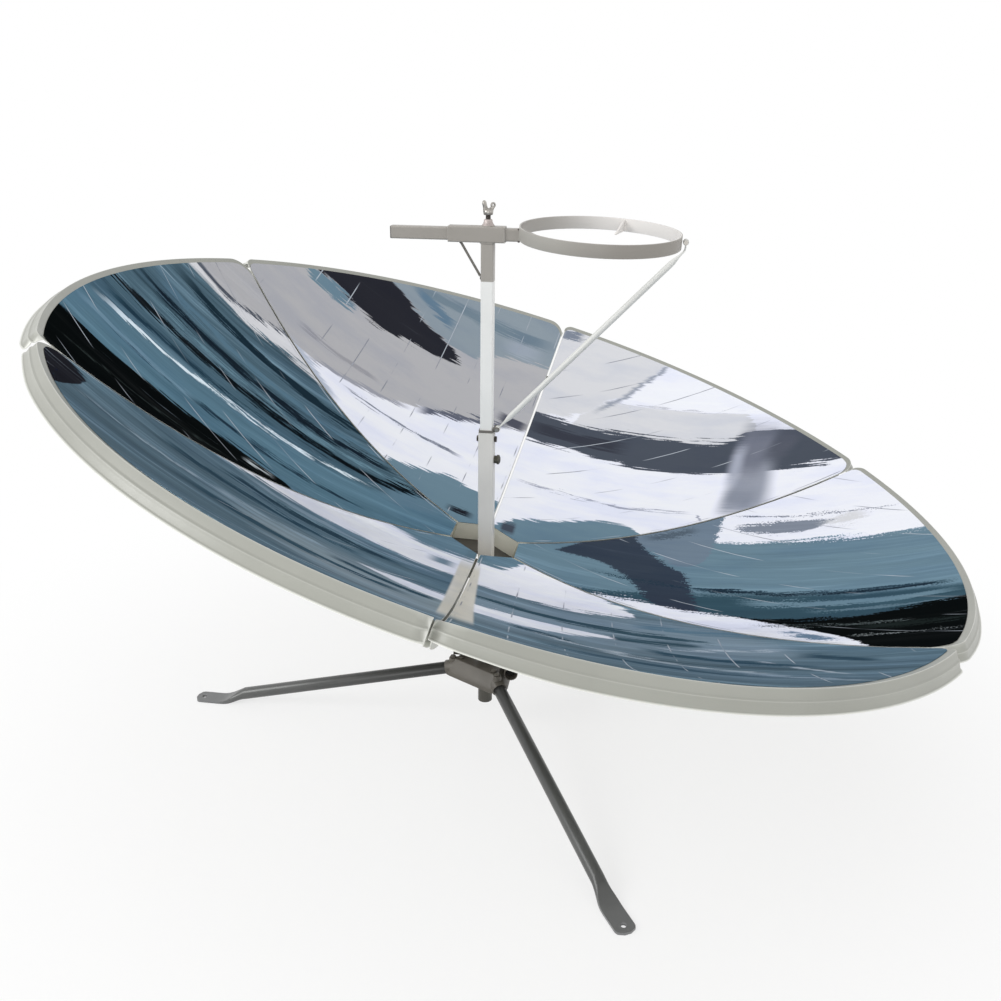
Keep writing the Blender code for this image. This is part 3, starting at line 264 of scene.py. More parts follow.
def new_material(name):
    """A material, the builder of its nodes, its shader and the object's coordinates."""
    made = bpy.data.materials.new(name)
    made.use_nodes = True
    nodes = Nodes(made.node_tree)
    return made, nodes, made.node_tree.nodes["Principled BSDF"], nodes.add("TexCoord", out=3)


def paint(name, colour, roughness=0.42, metallic=0.0, edge_wear_and_highlight=None, edge_share=0.35, mottle=0.07, grain=0.000012,
          top=None, ring=None, bend_highlight=None, hole=None, foot=None):
    """Sprayed paint: faint clouding and orange peel, dusty patches, and brighter edges that are partly thin
    or chipped paint and partly a painted highlight. A second colour can stand above a height, as painted
    shade. For the pot ring, three more paint light and shade across it: inside and outside its band. A
    bend-highlight colour paints highlights on the bends of a pressed sheet and painted shade in its creases,
    and a hole colour paints light on its flanges round the dish's centre. A leg's paint gets painted shade
    towards the hub and a lighter painted tone, the foot colour, at its flat end."""
    made, nodes, shader, coords = new_material(name)
    base = tone(colour)
    dark = scaled(base, 1 - mottle * 1.6)
    cloud = nodes.ramp(nodes.noise(coords, 9, 4), 0.32, 0.68)
    shade = nodes.mix(cloud, dark, scaled(base, 1 + mottle))
    # Painted shade: a darker colour above a height, which the upper column's top gets
    if top:
        above = tone(top)
        level = nodes.ramp(nodes.split(coords)[2], SHADE_LINE - 0.0006, SHADE_LINE + 0.0006)
        shade = nodes.mix(level, shade, nodes.mix(cloud, scaled(above, 0.94), above))
    # Painted light and shade across the pot ring: its inside turns from dim to bright and its outside darkens
    # along the ring's X
    if ring:
        inner_back, inner_front, outer_front = map(tone, ring)
        local = nodes.inside(coords, RING)
        across = nodes.ramp(nodes.split(local)[0], -0.12, 0.04, smooth=True)
        shade = nodes.mix(nodes.ramp(nodes.reach(local), RING_RADIUS - 0.0016, RING_RADIUS - 0.0012),
                          nodes.mix(across, inner_back, inner_front), nodes.mix(across, shade, outer_front))
    if bend_highlight:
        # Painted highlight on the convex bends of the sheet and painted shade in its concave ones
        bend = nodes.add("NewGeometry", out=7)
        shade = nodes.mix(nodes.ramp(bend, 0.515, 0.575, 0, 0.9), shade, tone(bend_highlight))
        shade = nodes.mix(nodes.ramp(bend, 0.42, 0.485, 0.7, 0), shade, dark)
    # Painted light on the flanges round the dish's centre hole, which little light reaches
    if hole:
        reach = nodes.reach(nodes.inside(coords, DISH))
        shade = nodes.mix(nodes.ramp(reach, 0.080, 0.090), tone(hole), shade)
    # Painted shade that deepens along a leg towards the hub, and a lighter painted tone at its flat foot
    if foot:
        reach = nodes.reach(nodes.inside(coords, STAND))
        shade = nodes.mix(nodes.ramp(reach, 0.08, 0.40), scaled(base, 0.35), shade)
        shade = nodes.mix(nodes.ramp(reach, 0.47, 0.51), shade, tone(foot))
    shade = nodes.mix(nodes.ramp(nodes.noise(coords, 150, 3, 0.7), 0.68, 0.74, 0, 0.25), shade, dark)
    edge_mark = 0.0
    # Brighter edges: thin or chipped paint, and a painted highlight on the sheet's crest and the arm's edges
    if edge_wear_and_highlight:
        patchy = nodes.ramp(nodes.noise(coords, 60, 5, 0.7), 0.40, 0.60, 0.35, 1)
        edge_mark = nodes.times(nodes.edges(0.0013), nodes.times(patchy, edge_share))
        shade = nodes.mix(edge_mark, shade, tone(edge_wear_and_highlight))
    rough = nodes.ramp(nodes.noise(coords, 28, 4), 0.3, 0.7, roughness * 0.86, min(1, roughness * 1.14))
    rough = nodes.times(rough, nodes.minus(1.0, nodes.times(edge_mark, 0.3)))
    nodes.fill(shader, {"Base Color": shade, "Roughness": rough, "Metallic": metallic,
                        "Normal": nodes.bump(nodes.noise(coords, 300, 2), grain)})
    return made


def metal(name, colour, roughness, metallic=0.85):
    """Plated steel: fine turning marks, dull stained patches and brighter edges."""
    made, nodes, shader, coords = new_material(name)
    base = tone(colour)
    marks = nodes.noise(nodes.place(coords, scale=(300, 300, 2500)), 1, 2)
    patch = nodes.ramp(nodes.noise(coords, 130, 5, 0.65), 0.45, 0.66)
    shade = nodes.mix(nodes.ramp(marks, 0.3, 0.7), scaled(base, 0.9), base)
    shade = nodes.mix(nodes.times(patch, 0.6), shade, scaled(base, 0.55))
    shade = nodes.mix(nodes.times(nodes.edges(0.0006), 0.5), shade, scaled(base, 1.35))
    rough = nodes.ramp(patch, 0, 1, roughness, min(1, roughness * 1.6))
    nodes.fill(shader, {"Base Color": shade, "Roughness": rough, "Metallic": metallic,
                        "Normal": nodes.bump(marks, 0.00003)})
    return made


# Pieces
def linked(name, data):
    obj = bpy.data.objects.new(name, data)
    bpy.context.scene.collection.objects.link(obj)
    return obj


def piece(name, mesh, body, material, at=STAND, replaces=None, smooth=35):
    """A new object of the scene that rides on a body, and stands for a CAD node if it names one."""
    mesh.transform(at)
    obj = linked(name, mesh)
    mesh.materials.clear()
    mesh.materials.append(material)
    mesh.shade_smooth()
    mesh.set_sharp_from_angle(angle=radians(smooth))
    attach(obj, body)
    if replaces:
        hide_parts(replaces)


def mesh_of(bm, outward=False):
    if outward:
        bmesh.ops.recalc_face_normals(bm, faces=bm.faces)
    mesh = bpy.data.meshes.new("mesh")
    bm.to_mesh(mesh)
    bm.free()
    return mesh


def evaluated(obj):
    """An object's mesh as the viewport shows it. The object itself goes."""
    bpy.context.view_layer.update()
    view = bpy.context.evaluated_depsgraph_get()
    mesh = bpy.data.meshes.new_from_object(obj.evaluated_get(view), depsgraph=view)
    bpy.data.objects.remove(obj)
    return mesh


def shell(bm, thickness, offset=-1):
    """An open surface that faces up, given a thickness."""
    bmesh.ops.recalc_face_normals(bm, faces=bm.faces)
    bm.faces.ensure_lookup_table()
    if bm.faces[0].normal.z < 0:
        bmesh.ops.reverse_faces(bm, faces=bm.faces)
    obj = linked("shell", mesh_of(bm))
    solidify = obj.modifiers.new("solidify", "SOLIDIFY")
    solidify.thickness = thickness
    solidify.offset = offset
    solidify.use_even_offset = True
    return evaluated(obj)


def boolean(mesh, cutters, operation="DIFFERENCE"):
    """The mesh cut by, or joined with, other meshes."""
    obj = linked("working", mesh)
    tools = [linked("tool", cutter) for cutter in cutters]
    for tool in tools:
        modifier = obj.modifiers.new("boolean", "BOOLEAN")
        modifier.operation = operation
        modifier.object = tool
        modifier.solver = "EXACT"
    made = evaluated(obj)
    for tool in tools:
        bpy.data.objects.remove(tool)
    return made


def joined(meshes):
    """Several closed meshes in one."""
    bm = bmesh.new()
    for mesh in meshes:
        bm.from_mesh(mesh)
    return mesh_of(bm)


def compass(count, start=0.0):
    """The cosine and sine of evenly spaced turns."""
    turns = [2 * pi * (i + start) / count for i in range(count)]
    return [(cos(turn), sin(turn)) for turn in turns]


def skin(bm, rings):
    """Faces between closed rings of vertices. A ring may be a single point."""
    for before, after in zip(rings, rings[1:]):
        for i in range(max(len(before), len(after))):
            j = i + 1
            loop = [ring[k % len(ring)] for ring, k in ((before, i), (before, j), (after, j), (after, i))]
            corners = list(dict.fromkeys(loop))
            if len(corners) > 2:
                bm.faces.new(corners)


def lofted(rings):
    """A closed body through rings of points, with flat ends."""
    bm = bmesh.new()
    loops = [[bm.verts.new(point) for point in ring] for ring in rings]
    skin(bm, loops)
    bm.faces.new(loops[0])
    bm.faces.new(loops[-1])
    return mesh_of(bm, outward=True)


def turned(profile, steps=48, at=Matrix.Identity(4)):
    """A profile of (radius, height) points, from top to bottom down its outer side, turned about Z."""
    bm = bmesh.new()
    rings = []
    for radius, height in profile:
        spots = compass(steps) if radius > 0 else [(0, 0)]
        rings.append([bm.verts.new((radius * x, radius * y, height)) for x, y in spots])
    if profile[0][0] > 0:
        rings.append(rings[0])
    skin(bm, rings)
    mesh = mesh_of(bm, outward=True)
    mesh.transform(at)
    return mesh


def rod(radius, half, at):
    return turned([(0, half), (radius, half), (radius, -half), (0, -half)], 40, at)


def rounded(points, radius, steps=3, closed=False):
    """A run of points with its inner corners rounded off."""
    made = []
    count = len(points)
    for index, point in enumerate(points):
        point = Vector(point)
        if not closed and index in (0, count - 1):
            made.append(tuple(point))
            continue
        before, after = Vector(points[index - 1]), Vector(points[(index + 1) % count])
        reach = min(radius, (before - point).length * 0.45, (after - point).length * 0.45)
        start = point + (before - point).normalized() * reach
        stop = point + (after - point).normalized() * reach
        for t in [step / steps for step in range(steps + 1)]:
            made.append(tuple(start * (1 - t) ** 2 + point * (2 * t * (1 - t)) + stop * t ** 2))
    return made


def plate(outline, thickness, at, bevel, holes=()):
    """A flat outline with holes, given a thickness about its middle, its edges broken."""
    curve = bpy.data.curves.new("plate", "CURVE")
    curve.dimensions = "2D"
    curve.fill_mode = "BOTH"
    curve.extrude = thickness / 2 - bevel
    curve.bevel_depth = bevel
    curve.bevel_resolution = 1
    curve.offset = -bevel
    for loop in (outline, *holes):
        spline = curve.splines.new("POLY")
        spline.points.add(len(loop) - 1)
        for point, (x, y) in zip(spline.points, loop):
            point.co = (x, y, 0, 1)
        spline.use_cyclic_u = True
    bm = bmesh.new()
    bm.from_mesh(evaluated(linked("plate", curve)))
    bmesh.ops.remove_doubles(bm, verts=bm.verts, dist=1e-6)
    mesh = mesh_of(bm, outward=True)
    mesh.transform(at)
    return mesh


def circle(radius, points, centre):
    return [(centre[0] + radius * x, centre[1] + radius * y) for x, y in compass(points)]


def hexagon(radius, low, high):
    """A bolt head or nut with both ends chamfered."""
    rise, small = CHAMFER * 0.6, radius - CHAMFER
    levels = ((low, small), (low + rise, radius), (high - rise, radius), (high, small))
    return lofted([[(size * x, size * y, height) for x, y in compass(6)] for height, size in levels])


def threaded(radius, low, high, pitch=0.001):
    """A turned shank with thread ridges, as a profile."""
    count = max(2, round((high - low) / pitch))
    points = []
    for i in range(count):
        z = high - (high - low) * i / count
        points += [(radius * 0.93, z), (radius, z - (high - low) / count / 2)]
    return points + [(radius * 0.93, low)]


def hex_bolt(grip, turn=0.0):
    """A bolt along Z round the middle of its grip, with its head on top and its nut below."""
    half, shank, tall = grip / 2, BOLT_DIAMETER / 2, BOLT_DIAMETER * 0.6
    end = -half - tall
    mesh = joined([hexagon(BOLT_HEAD, half, half + tall),
                   turned([(0, half), (shank, half), (shank, end), (0, end)], 24),
                   hexagon(BOLT_HEAD, end, -half)])
    mesh.transform(spun(turn))
    return mesh


# Petals
def bowl_height(x, y=0):
    return (x * x + y * y) / (4 * FOCAL_LENGTH)


def side_angle(radius, edge, corner, inset):
    """How far round a ring of points reaches, less the rounding of the petal's corner."""
    into = radius - (edge - corner)
    setback = corner - sqrt(max(corner * corner - into * into, 0)) if into > 0 else 0
    return HALF_PETAL - asin(inset / radius) - setback / radius


def sheet_radii():
    """Radii of the rings of points, close together round the corners."""
    start, stop = HOLE_CORNER_RADIUS * 1.35, BOWL_EDGE - LEAD_CORNER
    inner = [start + (stop - start) * i / 14 for i in range(15)]
    outer = [BOWL_EDGE - LEAD_CORNER * share for share in (0.9, 0.8, 0.7, 0.6, 0.5, 0.42, 0.34, 0.27)]
    rim = [BOWL_EDGE - LEAD_CORNER * share for share in (0.13, 0.08, 0.04, 0.015, 0.003, 0)]
    return inner + outer + [MIRROR_RADIUS] + rim


def row_points(radius, inset, edge, shrink):
    """One ring of points of the sheet or the foil, from its clockwise side to the other. With no radius, it
    is the straight edge at the hole."""
    if radius is None:
        half = (HOLE_APOTHEM * sin(HALF_PETAL) - inset) / cos(HALF_PETAL)
        return [(HOLE_APOTHEM, -half + 2 * half * i / COLUMNS) for i in range(COLUMNS + 1)]
    lead = side_angle(min(radius, edge), edge, LEAD_CORNER - shrink, inset)
    trail = side_angle(min(radius, edge), edge, TRAIL_CORNER - shrink, inset)
    turns = [-lead + (lead + trail) * i / COLUMNS for i in range(COLUMNS + 1)]
    return [(radius * cos(turn), radius * sin(turn)) for turn in turns]


def bowl_rows(bm, rows, lift=0.0):
    grid = []
    for row in rows:
        grid.append([])
        for x, y in row:
            normal = Vector((-x, -y, 2 * FOCAL_LENGTH)).normalized()
            grid[-1].append(bm.verts.new(Vector((x, y, bowl_height(x, y))) + normal * lift))
    for before, after in zip(grid, grid[1:]):
        for i in range(len(before) - 1):
            bm.faces.new((before[i], after[i], after[i + 1], before[i + 1]))
    return grid


def extruded(bm, chain, place):
    """The next chain of vertices, each put where place says for its number and its old spot."""
    edges = [bm.edges.get(pair) for pair in zip(chain, chain[1:])]
    grown = bmesh.ops.extrude_edge_only(bm, edges=edges)["geom"]
    fresh = {item for item in grown if isinstance(item, bmesh.types.BMVert)}
    row = []
    for index, old in enumerate(chain):
        row.append(next(edge.other_vert(old) for edge in old.link_edges if edge.other_vert(old) in fresh))
        row[-1].co = place(index, old.co)
    return row


def outward_normals(points):
    runs = [after - before for before, after in zip(points, points[2:])]
    return [Vector((run.y, -run.x, 0)).normalized() for run in runs]


def skirt_steps():
    """The skirt's profile as small steps, its bends rounded."""
    points, place = [(-0.003, -0.003 * BOWL_EDGE / (2 * FOCAL_LENGTH)), (0, 0)], Vector((0, 0))
    for step in SKIRT_STEPS:
        place = place + Vector(step)
        points.append(tuple(place))
    smooth = [Vector(p) for p in rounded(points, 0.0010) if p[0] > 0.00002]
    return [after - before for before, after in zip([Vector((0, 0))] + smooth, smooth)]


def skirt_share(distance):
    """The skirt's size over its full size, this far from the petal's clockwise end."""
    return 1 - SKIRT_TRIM * (1 - eased(min(distance / TRIM_LENGTH, 1)))


def add_skirt(bm, grid, radii):
    lead, trail = [next(i for i, radius in enumerate(radii) if radius > BOWL_EDGE - corner + 1e-6)
                   for corner in (LEAD_CORNER, TRAIL_CORNER)]
    chain = [row[0] for row in grid[lead:]] + grid[-1][1:-1] + [row[-1] for row in reversed(grid[trail:])]
    spots = [vert.co.copy() for vert in chain]
    normals = outward_normals([grid[lead - 1][0].co] + spots + [grid[trail - 1][-1].co])
    shares = [skirt_share((spot - spots[0]).length) for spot in spots]
    old_faces = set(bm.faces)
    for out, up in skirt_steps():
        steps = [(normal * out + Vector((0, 0, up))) * share for normal, share in zip(normals, shares)]
        chain = extruded(bm, chain, lambda i, old: old + steps[i])
    for side in (-1, 1):
        normal = Vector((-sin(HALF_PETAL), side * cos(HALF_PETAL), 0))
        skirt = [face for face in bm.faces if face not in old_faces]
        parts = dict.fromkeys(item for face in skirt for item in (face, *face.edges, *face.verts))
        bmesh.ops.bisect_plane(bm, geom=list(parts), dist=1e-7, plane_co=normal * (-SKIRT_GAP / 2),
                               plane_no=normal, clear_outer=True)


def add_flanges(bm, grid, radii):
    """Fold the inner edge and both sides down, and the inner flange's foot outwards."""
    lead = next(i for i, radius in enumerate(radii) if radius >= BOWL_EDGE - LEAD_CORNER - 1e-6)
    trail = next(i for i, radius in enumerate(radii) if radius > BOWL_EDGE - TRAIL_CORNER) - 1
    chain = [row[0] for row in reversed(grid[1:lead + 1])] + grid[0] + [row[-1] for row in grid[1:trail + 1]]
    inner = range(lead, lead + len(grid[0]))
    spots = [vert.co.copy() for vert in chain]
    normals = outward_normals([2 * spots[0] - spots[1]] + spots + [2 * spots[-1] - spots[-2]])
    for before, now in ((0, pi / 6), (pi / 6, pi / 3), (pi / 3, pi / 2)):
        out, up = FOLD * (sin(now) - sin(before)), -FOLD * (cos(before) - cos(now))
        chain = extruded(bm, chain, lambda i, old: old + normals[i] * out + Vector((0, 0, up)))
    bottom = extruded(bm, chain, lambda i, old: Vector((old.x, old.y, FOLD - INNER_FLANGE)) if i in inner
                      else old + Vector((0, 0, FOLD - SIDE_FLANGE)))
    foot = [bottom[i] for i in inner]
    for out, up in ((0.0003, -FOLD * 0.75), (0.0006, -FOLD * 0.25), (FOOT_WIDTH - 0.0009, 0)):
        foot = extruded(bm, foot, lambda i, old: old + Vector((out, 0, up)))


def make_sheet_mesh():
    radii = sheet_radii()
    bm = bmesh.new()
    grid = bowl_rows(bm, [row_points(radius, SEAM_GAP / 2 + FOLD, BOWL_EDGE, 0) for radius in [None] + radii])
    add_skirt(bm, grid, [HOLE_APOTHEM] + radii)
    add_flanges(bm, grid, [HOLE_APOTHEM] + radii)
    return shell(bm, SHEET)


def make_film_mesh():
    radii = [radius for radius in sheet_radii() if radius <= MIRROR_RADIUS]
    inset = SEAM_GAP / 2 + FILM_MARGIN
    bm = bmesh.new()
    bowl_rows(bm, [row_points(radius, inset, MIRROR_RADIUS, FILM_MARGIN) for radius in [None] + radii], GAP)
    return shell(bm, FILM, 1)


# Colours of the reflections painted on the foil, as they are displayed
STEEL = (106, 131, 146)
BLUE = (97, 119, 133)
TEAL = (64, 85, 97)
SLATE = (74, 80, 91)
NAVY = (40, 41, 48)
BLACK = (15, 19, 20)
GREY = (172, 172, 176)
PALE = (207, 208, 213)
WHITE = (229, 231, 243)
SHADE = (124, 132, 146)
LINE = (118, 124, 138)
CREAM = (208, 205, 197)

# For each petal, the reflections painted on its foil: its ground colour, how strongly it is streaked and in
# which direction, and the direction of the feathering along the edges of its reflections. Then its broad
# zones, each a colour, a softness and the points of its upper and lower boundary (None where the petal's own
# edge bounds it). Then its narrow strokes, each as centre x, centre y, direction, half length, half width,
# taper, bend, softness and colour. All are in the dish's coordinates, in millimetres and degrees
REFLECTIONS = {
    1: (STEEL, 0.3, -4, -50, [
        (WHITE, 4, None, ((330, 260), (355, 152), (380, 140), (460, 139), (600, 132), (750, 128))),
        (SHADE, -8, ((400, 180), (440, 203), (520, 207), (610, 195)), ((400, 210), (440, 180), (520, 168),
         (610, 215))),
        ((110, 126, 142), -8, ((220, 100), (250, 160), (400, 240)), ((220, 160), (250, 130), (290, 90),
         (330, 50), (365, 60), (400, 200))),
        (TEAL, 10, ((200, -90), (300, -70), (400, -60), (550, -75), (750, -100)), None),
        (BLACK, 4, ((270, -150), (360, -145), (450, -166), (550, -172), (650, -150), (750, -130)), None),
        ((62, 70, 82), -6, ((100, 30), (130, 55), (170, 100), (245, 150), (265, 115), (290, 75), (320, 40),
         (342, 10), (352, -80), (358, -190)), ((100, 50), (130, 42), (200, 30), (235, 0), (258, -40),
         (275, -85), (300, -128), (360, -145))),
        (WHITE, 3, ((200, -110), (280, -113), (310, -128), (380, -146), (450, -186), (500, -226),
         (530, -268), (550, -320)), None)], [
        (315, 162, 28, 60, 9, 0, 0, 10, (84, 97, 110)),
        (550, 225, -2, 140, 2.2, 0, 0, 2, LINE),
        (600, 200, 24, 50, 12, 0, 0, 12, PALE),
        (530, -68, -6, 200, 4, 0, 10, 3, (40, 56, 67)),
        (440, -50, -7, 280, 2.5, 0, 10, 3, (46, 64, 76)),
        (560, -110, -4, 160, 10, 0.3, 10, 6, STEEL),
        (600, -142, -1, 100, 5, 0.3, 0, 4, BLUE),
        (520, -200, -3, 110, 1.8, 0, 0, 2, (92, 100, 102)),
        (600, -262, -2, 70, 1.5, 0, 0, 2, (128, 134, 136)),
        (620, -225, -3, 80, 10, 0.4, 0, 8, (34, 42, 42)),
        (487, -250, -38, 40, 11, 0.3, 0, 6, (112, 134, 156)),
    ]),
    2: (WHITE, 0.03, 0, 84, [
        (PALE, 4, None, ((-20, 468), (30, 476), (70, 488), (100, 510), (140, 557), (180, 592), (220, 648),
         (250, 694), (300, 800))),
        (PALE, 6, ((50, 400), (120, 535), (150, 556), (300, 556), (420, 552), (470, 450)), ((50, 420),
         (470, 460))),
        (SLATE, -2, ((-20, 474), (100, 470), (300, 467), (400, 474), (460, 505), (560, 480), (640, 420)),
         ((-20, 386), (100, 383), (300, 369), (440, 374), (550, 385), (640, 400))),
        (STEEL, 3, ((20, 90), (50, 122), (100, 140), (150, 166), (200, 180), (240, 174), (270, 130)),
         None)], [
        (190, 600, 51, 120, 5, 0, 6, 10, (150, 156, 168)),
        (20, 706, 0, 32, 13, 0, 0, 6, SHADE),
        (280, 557, 0, 140, 1.6, 0, 0, 2, (188, 190, 200)),
        (445, 330, 82, 140, 34, 0.2, 0, 34, (150, 155, 168)),
        (430, 290, 78, 70, 26, 0, 0, 30, (132, 138, 152)),
        (450, 440, 80, 120, 30, -0.2, 0, 36, (112, 116, 130)),
        (420, 400, 82, 80, 10, 0, 0, 20, (160, 165, 180)),
        (500, 455, 66, 70, 18, 0, 0, 24, (84, 88, 100)),
        (100, 428, 1, 120, 16, 0, 0, 12, (58, 61, 71)),
        (550, 300, 27, 80, 10, 0, 0, 12, (150, 158, 172)),
        (180, 243, -3, 180, 2.2, 0, 4, 3, (158, 162, 176)),
        (360, 222, -70, 16, 2.5, 0, 0, 3, (158, 162, 176)),
        (30, 75, 90, 30, 12, 0, 0, 8, SLATE),
    ]),
    3: (WHITE, 0.04, 0, 90, [
        (GREY, 3, None, ((-660, 268), (-500, 270), (-380, 288), (-300, 306), (-200, 346), (-100, 388),
         (-50, 402), (20, 405))),
        ((135, 147, 157), 4, None, ((-460, 700), (-420, 600), (-360, 598), (-300, 575), (-230, 553),
         (-170, 545), (-130, 570), (-80, 588), (20, 600))),
        (NAVY, 3, ((-560, 545), (-460, 590), (-400, 606), (-360, 600), (-300, 573), (-230, 549),
         (-185, 522), (-160, 500)), ((-560, 500), (-480, 506), (-430, 492), (-370, 480), (-300, 488),
         (-230, 500), (-160, 524))),
        (STEEL, 4, ((-560, 480), (-520, 500), (-470, 503), (-430, 488), (-400, 460)), ((-560, 485),
         (-500, 464), (-440, 470), (-400, 490))),
        (STEEL, 3, ((-280, 100), (-200, 143), (-150, 161), (-100, 176), (-60, 170), (20, 145)), None)], [
        (-340, 296, 13, 120, 5.5, 0, 0, 5, (150, 152, 162)),
        (-130, 372, 22, 110, 8.5, 0, -10, 6, (96, 100, 114)),
        (-35, 418, -14, 40, 12, 0, 0, 8, (78, 80, 92)),
        (-400, 340, 1, 100, 5, 0, 0, 6, (150, 150, 156)),
        (-230, 262, -2, 140, 3, 0, 0, 3, LINE),
        (-420, 245, -28, 90, 10, 0, 0, 10, (178, 186, 202)),
        (-180, 650, 4, 190, 12, 0, 0, 12, (110, 127, 140)),
        (-70, 620, 0, 60, 18, 0, 0, 18, (150, 160, 172)),
        (-280, 615, -20, 70, 10, 0, 0, 10, (96, 120, 140)),
        (-60, 72, 0, 30, 10, 0, 0, 8, NAVY),
    ]),
    4: ((79, 102, 116), 1.0, 6, -76, [
        ((94, 123, 140), 10, ((-750, -85), (-500, -50), (-300, -15), (-180, 20), (-140, 70), (-50, 60)),
         None),
        (PALE, 6, None, ((-750, 232), (-650, 226), (-550, 222), (-460, 236), (-380, 218))),
        (SLATE, 4, None, ((-750, 262), (-660, 242), (-600, 236), (-550, 252), (-450, 300))),
        (GREY, 4, None, ((-750, 276), (-660, 254), (-600, 248), (-550, 264), (-450, 312))),
        ((20, 28, 34), 4, ((-750, 16), (-600, 37), (-500, 44), (-350, 45), (-220, 53), (-120, 87),
         (-40, 80)), ((-750, 0), (-600, 17), (-500, 26), (-350, 30), (-220, 37), (-120, 66), (-40, 100))),
        (BLACK, 3, ((-750, -215), (-650, -205), (-550, -185), (-450, -163), (-380, -152), (-330, -158),
         (-290, -185), (-240, -260)), None)], [
        (-450, -30, 10.3, 270, 4.2, 0.5, 0, 3, (214, 228, 238)),
        (-420, 165, -2, 300, 10, 0, 12, 8, (34, 49, 59)),
        (-450, 118, 0, 280, 6.5, 0, 14, 6, (88, 116, 134)),
        (-450, 88, 1, 300, 8, 0, 14, 6, (30, 42, 51)),
        (-400, 62, 2, 300, 3.5, 0, 12, 4, (104, 134, 150)),
        (-550, -18, 8, 170, 5, 0.4, 0, 5, (46, 66, 78)),
        (-420, -105, 6, 250, 5, 0.2, 0, 6, (44, 62, 74)),
        (-600, -118, 3, 120, 7, 0.3, 0, 6, (112, 140, 158)),
        (-360, -176, 2, 30, 6, 0, 0, 6, (206, 214, 218)),
        (-520, -250, 16, 140, 1.6, 0, 0, 3, (54, 62, 62)),
        (-140, 30, 20, 70, 22, 0, 0, 12, (98, 124, 140)),
    ]),
    5: (BLUE, 0.85, 6, -84, [
        ((136, 152, 162), 50, ((-340, -420), (-250, -360), (-100, -340), (20, -340)), ((-340, -400),
         (-250, -450), (-100, -500), (20, -500))),
        (WHITE, 4, None, ((-370, -226), (-330, -216), (-250, -207), (-150, -200), (20, -196))),
        (STEEL, 6, None, ((-200, -80), (-130, -94), (-80, -104), (20, -100))),
        (WHITE, 4, ((-180, -360), (-130, -338), (-60, -320), (20, -314)), ((-180, -340), (-130, -346),
         (-60, -356), (20, -358))),
        (NAVY, 6, ((-660, -340), (-560, -360), (-545, -420), (-530, -620)), None)], [
        (-50, -148, 0, 30, 15, 0, 0, 10, (120, 140, 156)),
        (-420, -405, 12, 130, 4.2, 0.2, 0, 5, (158, 176, 190)),
        (-270, -365, 9, 90, 5, 0.3, 0, 5, (146, 166, 180)),
        (-240, -262, 6, 160, 8, 0.2, 0, 6, (52, 73, 86)),
        (-200, -230, 4, 180, 5, 0.2, 0, 5, (130, 150, 166)),
        (-300, -315, 8, 170, 9, 0.2, 0, 8, (56, 78, 92)),
        (-100, -375, 4, 90, 8, 0.2, 0, 6, (60, 82, 96)),
        (-220, -430, 7, 180, 12, 0.2, 0, 10, (62, 86, 101)),
        (-140, -470, 2, 130, 6, 0.2, 0, 8, (128, 148, 162)),
        (-4, -290, -87.5, 200, 15, -0.3, 0, 5, CREAM),
    ]),
    6: (BLUE, 0.8, -5, 84, [
        ((126, 145, 159), 50, ((20, -220), (200, -205), (300, -190), (400, -250), (480, -360)),
         ((20, -420), (200, -400), (300, -390), (400, -380), (480, -340))),
        (WHITE, 4, ((0, 100), (170, -90), (220, -130), (250, -164), (270, -230)), ((0, -205), (100, -200),
         (150, -206), (200, -203), (270, -190))),
        (STEEL, 5, None, ((-20, -100), (45, -95), (70, -60), (100, 0))),
        (TEAL, 4, ((20, -256), (100, -255), (200, -260), (300, -272), (400, -310)), ((20, -268),
         (100, -273), (200, -282), (300, -292), (400, -300))),
        (TEAL, 10, ((170, -320), (240, -302), (310, -300), (360, -330)), ((170, -300), (240, -330),
         (310, -325), (360, -310))),
        (WHITE, 4, ((-20, -316), (50, -315), (100, -310), (180, -308), (240, -325)), ((-20, -352),
         (50, -363), (100, -362), (160, -346), (240, -315)))], [
        (190, -405, -15, 90, 5.5, 0.3, 0, 5, (176, 188, 200)),
        (130, -385, -10, 60, 5, 0.3, 0, 5, (60, 82, 96)),
        (360, -335, 8, 90, 3.6, 0.3, 0, 4, (172, 184, 196)),
        (300, -455, -16, 120, 5, 0.2, 10, 6, (160, 174, 186)),
        (440, -430, -44, 70, 4, 0.2, 0, 5, (168, 180, 192)),
        (360, -395, -14, 120, 9, 0.3, 0, 8, (60, 84, 99)),
        (250, -480, -10, 160, 10, 0.2, 0, 10, (64, 88, 103)),
        (420, -500, -22, 100, 5, 0.2, 0, 6, (146, 164, 178)),
        (340, -240, -4, 100, 10, 0.3, 0, 10, (98, 124, 142)),
        (500, -370, -30, 60, 10, 0.3, 0, 10, (60, 80, 94)),
        (8, -290, -87.5, 200, 15, -0.3, 0, 5, CREAM),
    ]),
}

# Half the side of the square that the boundaries' points lie in, in metres
REACH = 0.76


